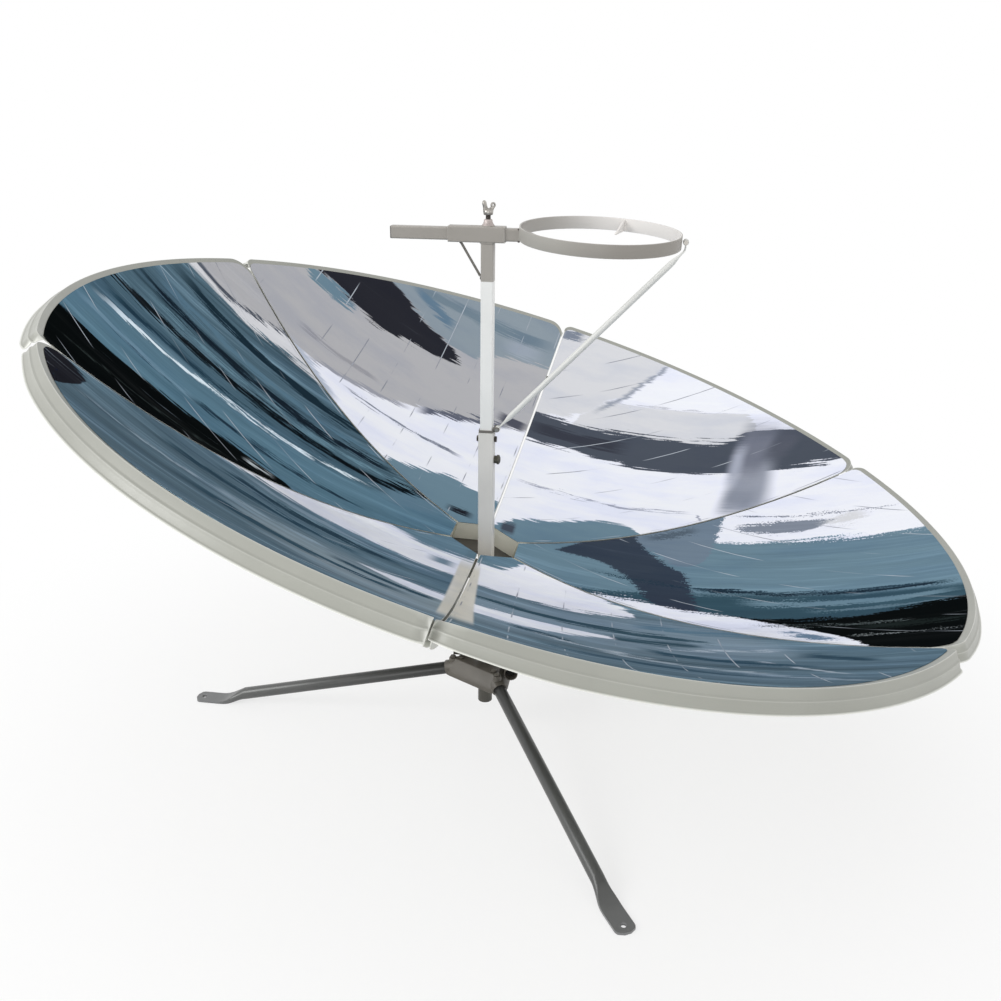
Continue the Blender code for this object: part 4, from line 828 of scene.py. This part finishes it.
def reflection_group():
    """A node group that gives 1 inside one reflection: a tapered and bent band with soft edges."""
    group = bpy.data.node_groups.new("reflection", "ShaderNodeTree")
    for name in ("Place", "Taper", "Bend", "Soft", "Soft end"):
        kind = "NodeSocketVector" if name == "Place" else "NodeSocketFloat"
        group.interface.new_socket(name, in_out="INPUT", socket_type=kind)
    group.interface.new_socket("Share", in_out="OUTPUT", socket_type="NodeSocketFloat")
    nodes = Nodes(group)
    given = group.nodes.new("NodeGroupInput").outputs
    u, v, _ = nodes.split(given["Place"])
    off = nodes.math("ABSOLUTE", nodes.minus(v, nodes.times(nodes.times(u, u), given["Bend"])))
    width = nodes.minus(1.0, nodes.times(u, given["Taper"]))
    across = nodes.math("DIVIDE", nodes.minus(width, off), given["Soft"])
    along = nodes.math("DIVIDE", nodes.minus(1.0, nodes.math("ABSOLUTE", u)), given["Soft end"])
    share = nodes.times(nodes.ramp(across, -0.5, 0.5, smooth=True), nodes.ramp(along, 0, 1, smooth=True))
    nodes.fill(group.nodes.new("NodeGroupOutput"), {0: share})
    return group


def boundary(nodes, x, y, points, soft, above, comb):
    """1 above or below a smooth curve through the points, and 0 on its other side. A softness below zero
    feathers the edge that much more in place of blurring it."""
    node = nodes.add("FloatCurve", {1: x}).node
    curve = node.mapping.curves[0]
    for index, point in enumerate(points):
        place = [(c / 1000 + REACH) / (2 * REACH) for c in point]
        knot = curve.points[index] if index < 2 else curve.points.new(*place)
        knot.location = place
        knot.handle_type = "AUTO_CLAMPED"
    node.mapping.update()
    away = nodes.minus(y, node.outputs[0])
    if soft < 0:
        away = nodes.math("ADD", away, nodes.times(comb, -soft / 1000 / (2 * REACH)))
        soft = 3
    edge = soft / 1000 / (2 * REACH) * (-1 if above else 1)
    return nodes.ramp(away, edge, -edge, smooth=True)


def foil(number, group):
    """Silvered foil in glued strips, with the broad reflections that the photograph shows in it painted into
    its colour.
    """
    ground, streak, lean, feather, zones, strokes = REFLECTIONS[number]
    made, nodes, shader, coords = new_material(f"foil_{number}")
    level = nodes.inside(coords, DISH)
    wave = nodes.add("TexNoise", {"Vector": level, "Scale": 9.0, "Detail": 2.0}, out=1)
    wave = nodes.vector("SCALE", nodes.vector("SUBTRACT", wave, (0.5, 0.5, 0.5)), scale=0.014)
    waved = nodes.vector("ADD", level, wave)

    # The edges of the reflections are pushed along the feathering by noise of three sizes
    turn = radians(feather)
    fine = nodes.noise(nodes.along(level, turn, (12, 190, 1)), 1, 2, 0.6)
    broad = nodes.noise(nodes.along(level, turn, (4, 70, 1)), 1, 2, 0.6)
    comb = nodes.math("ADD", nodes.ramp(fine, 0.32, 0.68, -1.2, 1.2), nodes.ramp(broad, 0.3, 0.7, -0.8, 0.8))
    grit = 1.1 if number == 1 else 0.2
    comb = nodes.math("ADD", comb, nodes.ramp(nodes.noise(level, 300, 1), 0.3, 0.7, -grit, grit))
    push = nodes.times(comb, nodes.ramp(nodes.noise(level, 6, 2), 0.36, 0.66, 0.0025, 0.0100))
    spot = nodes.vector("ADD", waved, nodes.vector("SCALE", (cos(turn), sin(turn), 0), scale=push))

    # Painted reflections streaked along the lean: broad dark and pale ones, fine ones between them, and a few
    # painted glints
    rows = nodes.along(waved, radians(lean))
    wide = nodes.noise(nodes.place(rows, scale=(1.6, 30, 1)), 1, 3, 0.6)
    thin = nodes.noise(nodes.place(rows, scale=(5, 160, 1), location=(3, 7, 0)), 1, 3, 0.65)
    lines = nodes.math("ADD", nodes.times(wide, 0.62), nodes.times(thin, 0.38))

    def streaked(colour, share):
        light = tuple(min(1, c * (1 + 0.85 * share) + 0.02 * share) for c in colour[:3]) + (1,)
        half = nodes.mix(nodes.ramp(lines, 0.34, 0.49, 1, 0), colour, scaled(colour, 1 - 0.50 * share))
        return nodes.mix(nodes.ramp(lines, 0.52, 0.66), half, light)

    colour = streaked(tone(ground), streak)
    x, y, _ = nodes.split(spot)
    x, y = nodes.ramp(x, -REACH, REACH), nodes.ramp(y, -REACH, REACH)
    for zone, soft, upper, lower in zones:
        inside = [boundary(nodes, x, y, points, soft, above, comb)
                  for points, above in ((upper, False), (lower, True)) if points]
        share = inside[0] if len(inside) == 1 else nodes.times(*inside)
        zone = tone(zone)
        streaks = streak * (0.5 if sum(zone[:3]) / 3 < 0.4 else 0.12)
        colour = nodes.mix(share, colour, streaked(zone, streaks))
    for sx, sy, angle, length, width, taper, bend, soft, band in strokes:
        local = nodes.place(level if band == CREAM else spot, (0, 0, radians(angle)),
                            (length / 1000, width / 1000, 1), (sx / 1000, sy / 1000, 0), "TEXTURE")
        given = {"Place": local, "Taper": taper, "Bend": bend / width, "Soft": soft / width,
                 "Soft end": min(1.0, 0.25 + 2 * soft / length)}
        colour = nodes.mix(nodes.add("Group", given, node_tree=group), colour, tone(band))
    glint = nodes.times(nodes.ramp(thin, 0.66, 0.73, 0, streak * 0.55), nodes.ramp(wide, 0.40, 0.60))
    colour = nodes.mix(glint, colour, tone((196, 210, 222)))
    cloud = nodes.noise(nodes.along(level, turn, (5, 16, 1), (9, 2, 0)), 1, 4, 0.6)
    colour = nodes.mix(nodes.ramp(cloud, 0.46, 0.66), colour, tone((243, 245, 250)), "MULTIPLY")
    colour = nodes.mix(1.0, colour, (1.17, 1.17, 1.16, 1), "MULTIPLY", clamp=True)

    # Joints between the strips, parallel to the petal's clockwise seam
    seam = HALF_PETAL * (2 * number - 3)
    turns = nodes.math("DIVIDE", nodes.split(nodes.along(level, seam))[1], STRIP)
    near = nodes.math("ABSOLUTE", nodes.minus(nodes.math("FRACT", nodes.minus(turns, 0.6)), 0.5))
    shown = nodes.ramp(nodes.noise(nodes.along(level, seam, (7, 17, 1)), 1, 1), 0.49, 0.60)
    joint = nodes.times(nodes.ramp(near, 0.008, 0.018, 1, 0, smooth=True), shown)
    value = nodes.ramp(nodes.add("RGBToBW", {0: colour}), 0.25, 0.45)
    mark = nodes.mix(value, tone((200, 208, 218)), tone((138, 142, 154)))
    colour = nodes.mix(nodes.times(joint, 0.8), colour, mark)

    swell = nodes.noise(level, 22, 3)
    normal = nodes.bump(fine, 0.00012, nodes.bump(swell, 0.0008))
    nodes.fill(shader, {"Base Color": colour, "Specular Tint": nodes.add("Gamma", {0: colour, 1: 0.5}),
                        "Normal": nodes.bump(joint, 0.0004, normal), "Metallic": 0.32,
                        "Roughness": nodes.ramp(swell, 0.3, 0.7, 0.10, 0.20), "Specular IOR Level": 0.0})
    return made


def make_petals():
    sheet, film, group = make_sheet_mesh(), make_film_mesh(), reflection_group()
    # The enamel's bright edges and bends are painted highlights, its creases painted shade, and its hole
    # flanges painted light
    enamel = paint("petal_enamel", (161, 162, 154), 0.34, edge_wear_and_highlight=(240, 241, 236), edge_share=0.9, mottle=0.03,
                   grain=0.000008, bend_highlight=(232, 233, 226), hole=(240, 238, 224))
    plated = metal("petal_fastener", (178, 176, 170), 0.32)
    for number in range(1, PETALS + 1):
        spin = 2 * HALF_PETAL * (number - 1)
        turn = spun(spin)
        for name, mesh, finish, node in (("petal_sheet", sheet.copy(), enamel, "petal"),
                                         ("petal_foil", film.copy(), foil(number, group), "mirror_film")):
            mesh.transform(turn)
            piece(f"{name}_{number}", mesh, "dish", finish, DISH, f"{node}_{number}", 40)
        seam = DISH @ spun(spin + HALF_PETAL)
        at = seam @ moved(SEAM_BOLT_RADIUS, 0, bowl_height(SEAM_BOLT_RADIUS) - SEAM_BOLT_DEPTH) @ UPRIGHT
        bolt = hex_bolt(SEAM_GAP + 2 * SHEET + 2 * GAP)
        piece(f"seam_fastener_{number}", bolt, "dish", plated, at, f"seam_bolt_{number}", 30)
        grip = SHEET + FRAME_PLATE + 3 * GAP
        at = DISH @ turn @ moved(HOLE_APOTHEM + FOOT_WIDTH / 2, 0, PLATE_TOP - FRAME_PLATE - GAP + grip / 2)
        piece(f"foot_fastener_{number}", hex_bolt(grip), "dish", plated, at, f"petal_foot_bolt_{number}", 30)


def repaint(chosen):
    """New materials for nodes that are shown as they are."""
    for name, made in chosen.items():
        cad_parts[name].material_slots[0].material = made


# Pot ring and brace
def weld(name, points, radius, body, material, at=STAND):
    """A laid bead of weld: a lumpy round bar along a run of points."""
    rings = []
    last = len(points) - 1
    for index, point in enumerate(points):
        run = (points[min(index + 1, last)] - points[max(index - 1, 0)]).normalized()
        side = run.orthogonal().normalized()
        rise = run.cross(side)
        size = radius * (0.35 if index in (0, last) else 1 + 0.16 * sin(index * 2.4))
        rings.append([point + side * size * x + rise * size * y for x, y in compass(10)])
    piece(name, lofted(rings), body, material, at, smooth=80)


def line(start, stop, count=9):
    start, stop = Vector(start), Vector(stop)
    return [start.lerp(stop, i / (count - 1)) for i in range(count)]


def make_pot_ring(finish):
    inner, low = RING_RADIUS - RING_BAND, -RING_HEIGHT + 0.0005
    corners = [(inner, 0), (RING_RADIUS, 0), (RING_RADIUS, -RING_HEIGHT), (inner, -RING_HEIGHT)]
    band = turned(rounded(corners, 0.0006, closed=True), 144)
    piece("ring_band", band, "arm", finish, RING, "pot_ring", 50)
    wall, tip = inner + GAP, inner - POT_TAB_REACH
    corners = [(wall, -0.001), (wall, low), (tip, low), (tip, -RING_HEIGHT + 0.002)]
    loop = rounded(corners, 0.0008, 2, closed=True)
    for number, angle in enumerate(POT_TAB_ANGLES, 1):
        turn = spun(radians(angle))
        tab = plate(loop, 0.003, turn @ UPRIGHT, 0.0003)
        piece(f"ring_tab_{number}", tab, "arm", finish, RING, smooth=40)
        for side, letter in ((-0.0017, "a"), (0.0017, "b")):
            run = [turn @ p for p in line((inner, side, -0.002), (inner, side, -RING_HEIGHT + 0.001))]
            weld(f"ring_weld_{number}_{letter}", run, 0.0008, "arm", finish, RING)


def brace_mesh():
    """A round bar in the XZ plane, pressed flat at both ends and rolled there into eyes for its pins."""
    outer = RING @ Vector((RING_RADIUS, 0, -RING_HEIGHT / 2))
    upper = Vector((outer.x + PIN_REACH, 0, outer.z))
    collar_front = COLUMN_X + COLLAR_INSIDE / 2 + COLLAR_WALL
    lower = Vector((collar_front + PIN_REACH, 0, LOWER_TOP + BRACE_EYE + 2 * GAP))
    bend = upper - Vector((0, 0, RING_HEIGHT / 2 + BRACE_DROP))
    along, root = (lower - bend).normalized(), BRACE_EYE * 0.8
    turns = rounded([upper - Vector((0, 0, root)), bend, lower - along * root], 0.005, 6)
    path = [Vector(p) for p in turns[:-1]] + line(turns[-2], turns[-1], 90)[1:]
    full = BRACE_WIDTH / 2 - 0.0002
    across = Vector((0, 1, 0))
    rings = []
    for index, place in enumerate(path):
        run = (path[min(index + 1, len(path) - 1)] - path[max(index - 1, 0)]).normalized()
        near = min((place - bend).dot(along) - BRACE_BLEND / 3, (lower - place).length - BRACE_BLEND / 2)
        share = eased(max(0, min(1, near / BRACE_BLEND)))
        wide = across * (BRACE_WIDTH / 2 * (1 - share) + full * share)
        thick = run.cross(across) * (BRACE_STRAP / 2 * (1 - share) + full * share)
        power = 0.4 + 0.6 * share
        rings.append([place + wide * (abs(x) ** power * (1 if x > 0 else -1))
                      + thick * (abs(y) ** power * (1 if y > 0 else -1)) for x, y in compass(24, 0.5)])
    eyes = []
    half = BRACE_WIDTH / 2 - 0.00005
    for place, play in ((upper, RUNNING), (lower, BRACE_PLAY)):
        bore = PIN_DIAMETER / 2 + play
        profile = [(bore, half), (BRACE_EYE, half), (BRACE_EYE, -half), (bore, -half)]
        eyes.append(turned(rounded(profile, 0.0004, 2, closed=True), 32, moved(*place) @ spun(-pi / 2, "X")))
    return boolean(lofted(rings), eyes, "UNION")


# Legs and hub
def leg_axis(radius):
    """The middle of a leg's round part, this far from the column."""
    return Vector((radius, 0, LEG_ROOT_HEIGHT - (radius - LEG_ROOT_RADIUS) * tan(LEG_SLOPE)))


def leg_mesh():
    """A round tube that is pressed flat and bent level at the foot, with a bore to its crushed part."""
    radius, half = LEG_DIAMETER / 2, FOOT_THICKNESS / 2
    count = 40
    flat_start = LEG_REACH - FOOT_PLATE_LENGTH + 0.020
    crush_start = flat_start - 0.052
    begin, crush = leg_axis(LEG_INNER_RADIUS), leg_axis(crush_start)
    rise = LEG_DOWN.cross(Vector((0, 1, 0))).normalized()

    def tube_ring(size, centre):
        return [centre + Vector((0, size * x, 0)) + rise * (size * y) for x, y in compass(count)]

    def pressed_ring(x, z, width, height, square):
        return [(x, max(-1, min(1, a * (1 + 0.16 * square))) * width,
                 z + max(-1, min(1, b * (1 + 3 * square))) * height) for a, b in compass(count)]

    rings = [tube_ring(radius - 0.0004, begin), tube_ring(radius, begin + LEG_DOWN * 0.0005),
             tube_ring(radius, crush)]
    for t in [step / 14 for step in range(1, 15)]:
        ease = eased(t)
        x = crush_start + (flat_start - crush_start) * t
        width = radius + (FOOT_PLATE_WIDTH / 2 - radius) * ease
        height = radius + (half - radius) * ease ** 0.8
        z = max(leg_axis(x).z * (1 - ease) + half * ease, height)
        rings.append(pressed_ring(x, z, width, height, ease ** 2))
    end = LEG_REACH + FOOT_END
    for step in range(1, 11):
        x = flat_start + (end - flat_start) * step / 10
        into = max(0, x - (end - FOOT_CORNER))
        width = FOOT_PLATE_WIDTH / 2 - (FOOT_CORNER - sqrt(max(0, FOOT_CORNER ** 2 - into * into)))
        rings.append(pressed_ring(x, half, width, half, 1))
    bm = bmesh.new()
    outer = [[bm.verts.new(point) for point in ring] for ring in rings]
    bore = [[bm.verts.new(point) for point in tube_ring(radius - LEG_WALL, place)]
            for place in (begin, crush)]
    skin(bm, outer)
    skin(bm, outer[:1] + bore)
    bm.faces.new(bore[1])
    bm.faces.new(outer[-1])
    bmesh.ops.recalc_face_normals(bm, faces=bm.faces)
    bmesh.ops.triangulate(bm, faces=[face for face in bm.faces if len(face.verts) == 4])
    hole = FOOT_HOLE_DIAMETER / 2
    tool = turned([(0, half + 0.003), (hole + CHAMFER + 0.003, half + 0.003), (hole, half - CHAMFER),
                   (hole, -half - 0.002), (0, -half - 0.002)], 32, moved(LEG_REACH, 0, half))
    return boolean(mesh_of(bm), [tool])


def hub_outline(spread, arc=12):
    reach, radius = HUB_CORNER_REACH - HUB_CORNER_RADIUS, HUB_CORNER_RADIUS + spread
    points = []
    for angle in sorted(LEG_ANGLES):
        middle = (reach * cos(radians(angle)), reach * sin(radians(angle)))
        for turn in [radians(angle - 60 + 120 * step / arc) for step in range(arc + 1)]:
            points.append((middle[0] + radius * cos(turn), middle[1] + radius * sin(turn)))
    return points


def hub_mesh():
    """The hub's pressed shell with its bosses, leg sockets and the notch for the side tube."""
    bm = bmesh.new()
    profile = [(-0.0135, HUB_TOP), (-0.0105, HUB_TOP), (0.0010, HUB_BOTTOM + 0.0125),
               (0.0046, HUB_BOTTOM + 0.006), (HUB_FLARE, HUB_BOTTOM + 0.001), (HUB_FLARE, HUB_BOTTOM)]
    rings = [[bm.verts.new((x, y, z)) for x, y in hub_outline(spread)]
             for spread, z in rounded(profile, 0.004)]
    bm.faces.new(rings[0])
    skin(bm, rings)
    socket, slope = LEG_DIAMETER / 2 + HUB_WALL, spun(pi / 2 + LEG_SLOPE, "Y")
    lip = [(0, 0.006), (socket - 0.0006, 0.006), (socket, 0.0052), (socket, -0.012), (0, -0.012)]
    added, tools = [], []
    for angle in LEG_ANGLES:
        turn = spun(radians(angle))
        added.append(turned(lip, 40, turn @ moved(*leg_axis(HUB_CORNER_REACH - 0.001)) @ slope))
        for reach in (LEG_BOLT_RADIUS, HUB_BOLT_RADIUS):
            low = leg_axis(reach).z
            boss = [(0, HUB_TOP), (0.0064, HUB_TOP), (0.0072, HUB_TOP - 0.0008), (0.0078, low), (0, low)]
            added.append(turned(boss, 32, turn @ moved(reach, 0, 0)))
        tools.append(rod(LEG_DIAMETER / 2 + GAP, 0.04, turn @ moved(*leg_axis(0.065)) @ slope))
    tools.append(rod(SIDE_TUBE_DIAMETER / 2 + GAP, SIDE_TUBE_LENGTH / 2 + 0.003, SIDE_TUBE))
    tools.append(rod(HUB_TUBE_RADIUS + GAP, 0.03, moved(0, 0, HUB_TOP)))
    return boolean(boolean(shell(bm, HUB_WALL), added, "UNION"), tools)


def make_base():
    hub_paint = paint("hub_paint", (86, 82, 75), 0.46, 0.1, edge_wear_and_highlight=(150, 146, 138), edge_share=0.6, mottle=0.10)
    tube_paint = paint("hub_tube_paint", (69, 67, 61), 0.46, 0.1, edge_wear_and_highlight=(130, 126, 118), edge_share=0.6)
    # The leg paint has painted shade that deepens towards the hub and a lighter painted tone on its flat feet
    leg_paint = paint("leg_paint", (92, 93, 92), 0.33, 0.25, edge_wear_and_highlight=(150, 150, 148), edge_share=0.5,
                      mottle=0.08, foot=(122, 123, 124))
    dark_bolt = metal("dark_fastener", (104, 100, 93), 0.38, 0.7)
    piece("hub_casting", hub_mesh(), "stand", hub_paint, STAND, "hub_shell", 40)
    outer, half = SIDE_TUBE_DIAMETER / 2, SIDE_TUBE_LENGTH / 2
    inner = outer - SIDE_TUBE_WALL
    wall = rounded([(outer, half), (outer, -half), (inner, -half), (inner, half)], 0.0006, 2, closed=True)
    piece("side_socket", turned(wall), "stand", hub_paint, STAND @ SIDE_TUBE, "hub_side_tube", 40)
    # A dark disc deep in the side tube stands in for the shade in its bore: a painted shadow
    shadow_disc = [(0, 0.002), (inner - GAP, 0.002), (inner - GAP, -half + 0.001), (0, -half + 0.001)]
    piece("side_socket_shadow_disc", turned(shadow_disc, 40), "stand", paint("shadowed_bore", (20, 20, 19), 0.8),
          STAND @ SIDE_TUBE)
    for index, angle in enumerate(LEG_ANGLES):
        number, at = index + 1, STAND @ spun(radians(angle))
        piece(f"leg_tube_{number}", leg_mesh(), "stand", leg_paint, at, f"leg_{number}", 45)
        for place, radius, turn in (("leg", LEG_BOLT_RADIUS, 0.4 + index),
                                    ("hub", HUB_BOLT_RADIUS, 0.9 * index)):
            under = leg_axis(radius).z - LEG_DIAMETER / 2 / cos(LEG_SLOPE) - BOLT_HEAD * tan(LEG_SLOPE) - GAP
            grip = HUB_TOP + GAP - under
            piece(f"{place}_fastener_{number}", hex_bolt(grip, turn), "stand", dark_bolt,
                  at @ moved(radius, 0, under + grip / 2), f"{place}_bolt_{number}", 30)
    repaint({"hub_tube": tube_paint, "hub_plate": tube_paint, "swivel_washer": tube_paint,
             "swivel_spigot": dark_bolt})


def make_wing_bolt(finish, thread):
    """The wing bolt: a turned body with a slanted lug and an eye, on a dark threaded shank."""
    low, tip = SLEEVE_TOP + GAP + WELD_NUT_HEIGHT + 0.006, SLEEVE_MIDDLE + ARM_TUBE / 2 + GAP
    body = [(0, 0.0104), (0.0034, 0.0102), (0.0056, 0.0088), (0.0072, 0.0066), (0.0075, 0.0048),
            (0.0075, 0.0020), (0.0066, 0.0004), (0.0046, 0), (0, 0)]
    lug = [(-0.0082, 0.0030), (-0.0086, 0.0120), (-0.0104, 0.0170), (-0.0092, 0.0212), (-0.0066, 0.0222),
           (-0.0038, 0.0200), (-0.0034, 0.0160), (-0.0012, 0.0100), (-0.0008, 0.0030)]
    stem = [(0.0008, 0.0030), (0.0012, 0.0090), (0.0050, 0.0130), (0.0112, 0.0118), (0.0086, 0.0080),
            (0.0078, 0.0030)]
    middle = (0.0084, 0.0146)
    parts = [turned(body, 40), plate(rounded(lug, 0.003, closed=True), 0.0042, UPRIGHT, 0.0012),
             plate(circle(0.0042, 28, middle), 0.0036, UPRIGHT, 0.0009, [circle(0.0016, 20, middle)]),
             plate(rounded(stem, 0.0015, closed=True), 0.0040, UPRIGHT, 0.0010)]
    at = STAND @ moved(0, 0, low) @ spun(WING_TURN)
    piece("wing_head", joined(parts), "wing", finish, at, "wing_bolt", 50)
    top = low + 0.001
    shank = threaded(WING_BOLT_RADIUS, tip + 0.001, top)
    profile = [(0, top)] + shank + [(WING_BOLT_RADIUS * 0.7, tip), (0, tip)]
    piece("wing_thread", turned(profile, 32), "wing", thread, smooth=25)


def make_weld_nut(finish):
    base, bore = SLEEVE_TOP + GAP, WING_BOLT_RADIUS + RUNNING
    top = base + WELD_NUT_HEIGHT
    profile = [(bore, top - 0.0006), (bore + 0.0006, top), (0.0056, top), (0.0065, top - 0.0009),
               (0.0068, base + 0.0062), (0.0080, base + 0.0034), (0.0093, base + 0.0018),
               (WELD_NUT_RADIUS, base + 0.0010), (WELD_NUT_RADIUS, base), (bore, base)]
    piece("weld_nut_body", turned(profile), "upper", finish, STAND, "weld_nut", 40)


def make_welds(finish, burnt):
    """Weld beads where the ring, the gusset rod, the weld nut and the sleeve are joined."""
    half, under = 0.0101, SLEEVE_BOTTOM - 0.0006
    edge, front, reach = ARM_TUBE / 2 - 0.0005, ARM_FRONT - 0.0004, ARM_TUBE / 2
    for side, first, second in ((-1, "a", "c"), (1, "b", "d")):
        out = side * half
        for letter, start, stop in ((first, (-half, out, under), (half, out, under)),
                                    (second, (out, -half, under), (out, half, under))):
            weld(f"column_weld_{letter}", line(start, stop, 13), BEAD, "upper", finish)
        run = line((front, side * edge, SLEEVE_MIDDLE - edge), (front, side * edge, SLEEVE_MIDDLE + edge), 13)
        weld(f"ring_joint_{first}", run, BEAD, "arm", finish)
        spot = SLEEVE_MIDDLE + side * (reach - 0.0004)
        run = line((ARM_FRONT - 0.0022, -reach, spot), (ARM_FRONT + 0.0014, -reach + 0.0002, spot), 5)
        weld(f"ring_spot_{first}", run, BEAD, "arm", burnt)
    turns = compass(36)
    run = [Vector((0.0096 * x, 0.0096 * y, SLEEVE_TOP + GAP)) for x, y in turns + turns[:1]]
    weld("weld_nut_bead", run, 0.0009, "upper", finish)
    run = line((GUSSET_SLEEVE_X - 0.0022, 0.0004, under), (GUSSET_SLEEVE_X + 0.0026, 0, under), 6)
    weld("gusset_weld_a", run, 0.0020, "upper", burnt)
    foot = SLEEVE_BOTTOM - GUSSET_DROP
    run = line((-0.0106, 0, foot + 0.0034), (-0.0106, 0.0003, foot - 0.0028), 6)
    weld("gusset_weld_b", run, 0.0019, "upper", burnt)


def make_column():
    """Materials for the column, the arm and the brace, and the fittings on them."""
    # The arm's bright edges, such as the sleeve's top edge, are partly a painted highlight
    arm = paint("arm_paint", (158, 153, 146), 0.40, edge_wear_and_highlight=(224, 221, 216), edge_share=0.85, mottle=0.05)
    # The pot ring's inside and outside carry painted light and shade across the band
    ring = paint("ring_paint", (176, 173, 166), 0.40, edge_wear_and_highlight=(226, 224, 220), edge_share=0.7, mottle=0.04,
                 ring=((166, 162, 156), (236, 232, 228), (150, 145, 138)))
    # The lower column's cream is painted lighter, a painted light against the shade the dish casts on it
    lower = paint("lower_column_paint", (232, 229, 223), 0.38, edge_wear_and_highlight=(240, 239, 234), edge_share=0.8,
                  mottle=0.04)
    # The upper column's white is painted light, and its grey above the set height painted shade
    upper = paint("upper_column_paint", (246, 246, 243), 0.36, edge_wear_and_highlight=(248, 248, 246), edge_share=0.5,
                  mottle=0.03, top=(168, 163, 156))
    brace = paint("brace_paint", (226, 226, 222), 0.34, mottle=0.02, grain=0.000004)
    rod_paint = paint("rod_paint", (120, 116, 110), 0.42, mottle=0.06)
    burnt = paint("burnt_weld", (74, 68, 64), 0.5, 0.3, mottle=0.15, grain=0.00006)
    plated = metal("plated_steel", (182, 178, 172), 0.30)
    dark = metal("dark_steel", (84, 78, 74), 0.42, 0.6)
    repaint({"arm_tube": arm, "arm_sleeve": arm, "arm_end_cap": rod_paint, "gusset_rod": rod_paint,
             "lower_column": lower, "upper_column": upper, "brace_collar": rod_paint,
             "clamp_screw": metal("thumb_screw_steel", (92, 90, 80), 0.42, 0.6), "cross_bolt": dark,
             "brace_upper_pin": plated, "brace_lower_pin": plated, "tilt_axle": plated,
             "tilt_wing_nut": plated, "centre_frame": paint("frame_paint", (78, 75, 69), 0.5, mottle=0.10)})
    piece("brace_bar", brace_mesh(), "brace", brace, Matrix.Identity(4), "brace", 50)
    make_wing_bolt(plated, dark)
    make_weld_nut(metal("weld_nut_steel", (192, 181, 177), 0.42, 0.45))
    make_welds(arm, burnt)
    make_pot_ring(ring)


# Stage, light and camera
def make_stage():
    """A white floor that takes soft shadows and glows further out, an even world and three lamps."""
    bm = bmesh.new()
    bmesh.ops.create_circle(bm, cap_ends=True, segments=96, radius=14)
    floor = linked("floor", mesh_of(bm))
    floor.location.z = -0.0002
    made, nodes, shader, coords = new_material("floor")
    nodes.fill(shader, {"Base Color": (0.96, 0.96, 0.96, 1), "Roughness": 0.9, "Specular IOR Level": 0.1})
    glow = nodes.add("Emission", {"Color": (1, 1, 1, 1), "Strength": 1.0})
    far = nodes.ramp(nodes.vector("LENGTH", coords), 0.55, 1.4, 0.7, 1, smooth=True)
    both = nodes.add("MixShader", {0: nodes.times(far, nodes.seen()), 1: shader.outputs[0], 2: glow})
    nodes.fill(made.node_tree.nodes["Material Output"], {0: both})
    floor.data.materials.append(made)

    world = bpy.data.worlds.new("studio")
    bpy.context.scene.world = world
    world.use_nodes = True
    nodes = Nodes(world.node_tree)
    strength = nodes.ramp(nodes.seen(), 0, 1, 0.74, 1.0)
    nodes.fill(world.node_tree.nodes["Background"], {0: (1, 1, 1, 1), 1: strength})

    for name, place, power in (("key", (-3.6, -2.2, 2.6), 80), ("front", (0.4, -4.4, 1.5), 24),
                               ("fill", (3.2, -1.2, 2.2), 10)):
        lamp = bpy.data.lights.new(name, "AREA")
        lamp.shape = "DISK"
        lamp.size = 2.4
        lamp.energy = power
        obj = linked(name, lamp)
        obj.location = place
        obj.rotation_euler = (Vector((0, 0, 0.4)) - Vector(place)).to_track_quat("-Z", "Y").to_euler()


def make_camera():
    """The photograph's camera, as a fit to the object's size and outline gave it."""
    yaw, pitch, roll = radians(8.1776), radians(20.8822), radians(0.675)
    forward = Vector((-sin(yaw) * cos(pitch), cos(yaw) * cos(pitch), -sin(pitch)))
    right = Vector((cos(yaw), sin(yaw), 0))
    up = right.cross(forward)
    across = cos(roll) * right + sin(roll) * up
    upright = -sin(roll) * right + cos(roll) * up
    camera = linked("camera", bpy.data.cameras.new("camera"))
    place = Matrix((across, upright, -forward)).transposed().to_4x4()
    place.translation = Vector((0.196282, -1.6061, 1.0584))
    camera.matrix_world = place
    camera.data.lens = 37.21
    camera.data.sensor_width = 36
    bpy.context.scene.camera = camera


make_camera()
make_petals()
make_column()
make_base()
make_stage()
bpy.context.scene.view_settings.view_transform = "Standard"

bpy.context.view_layer.update()
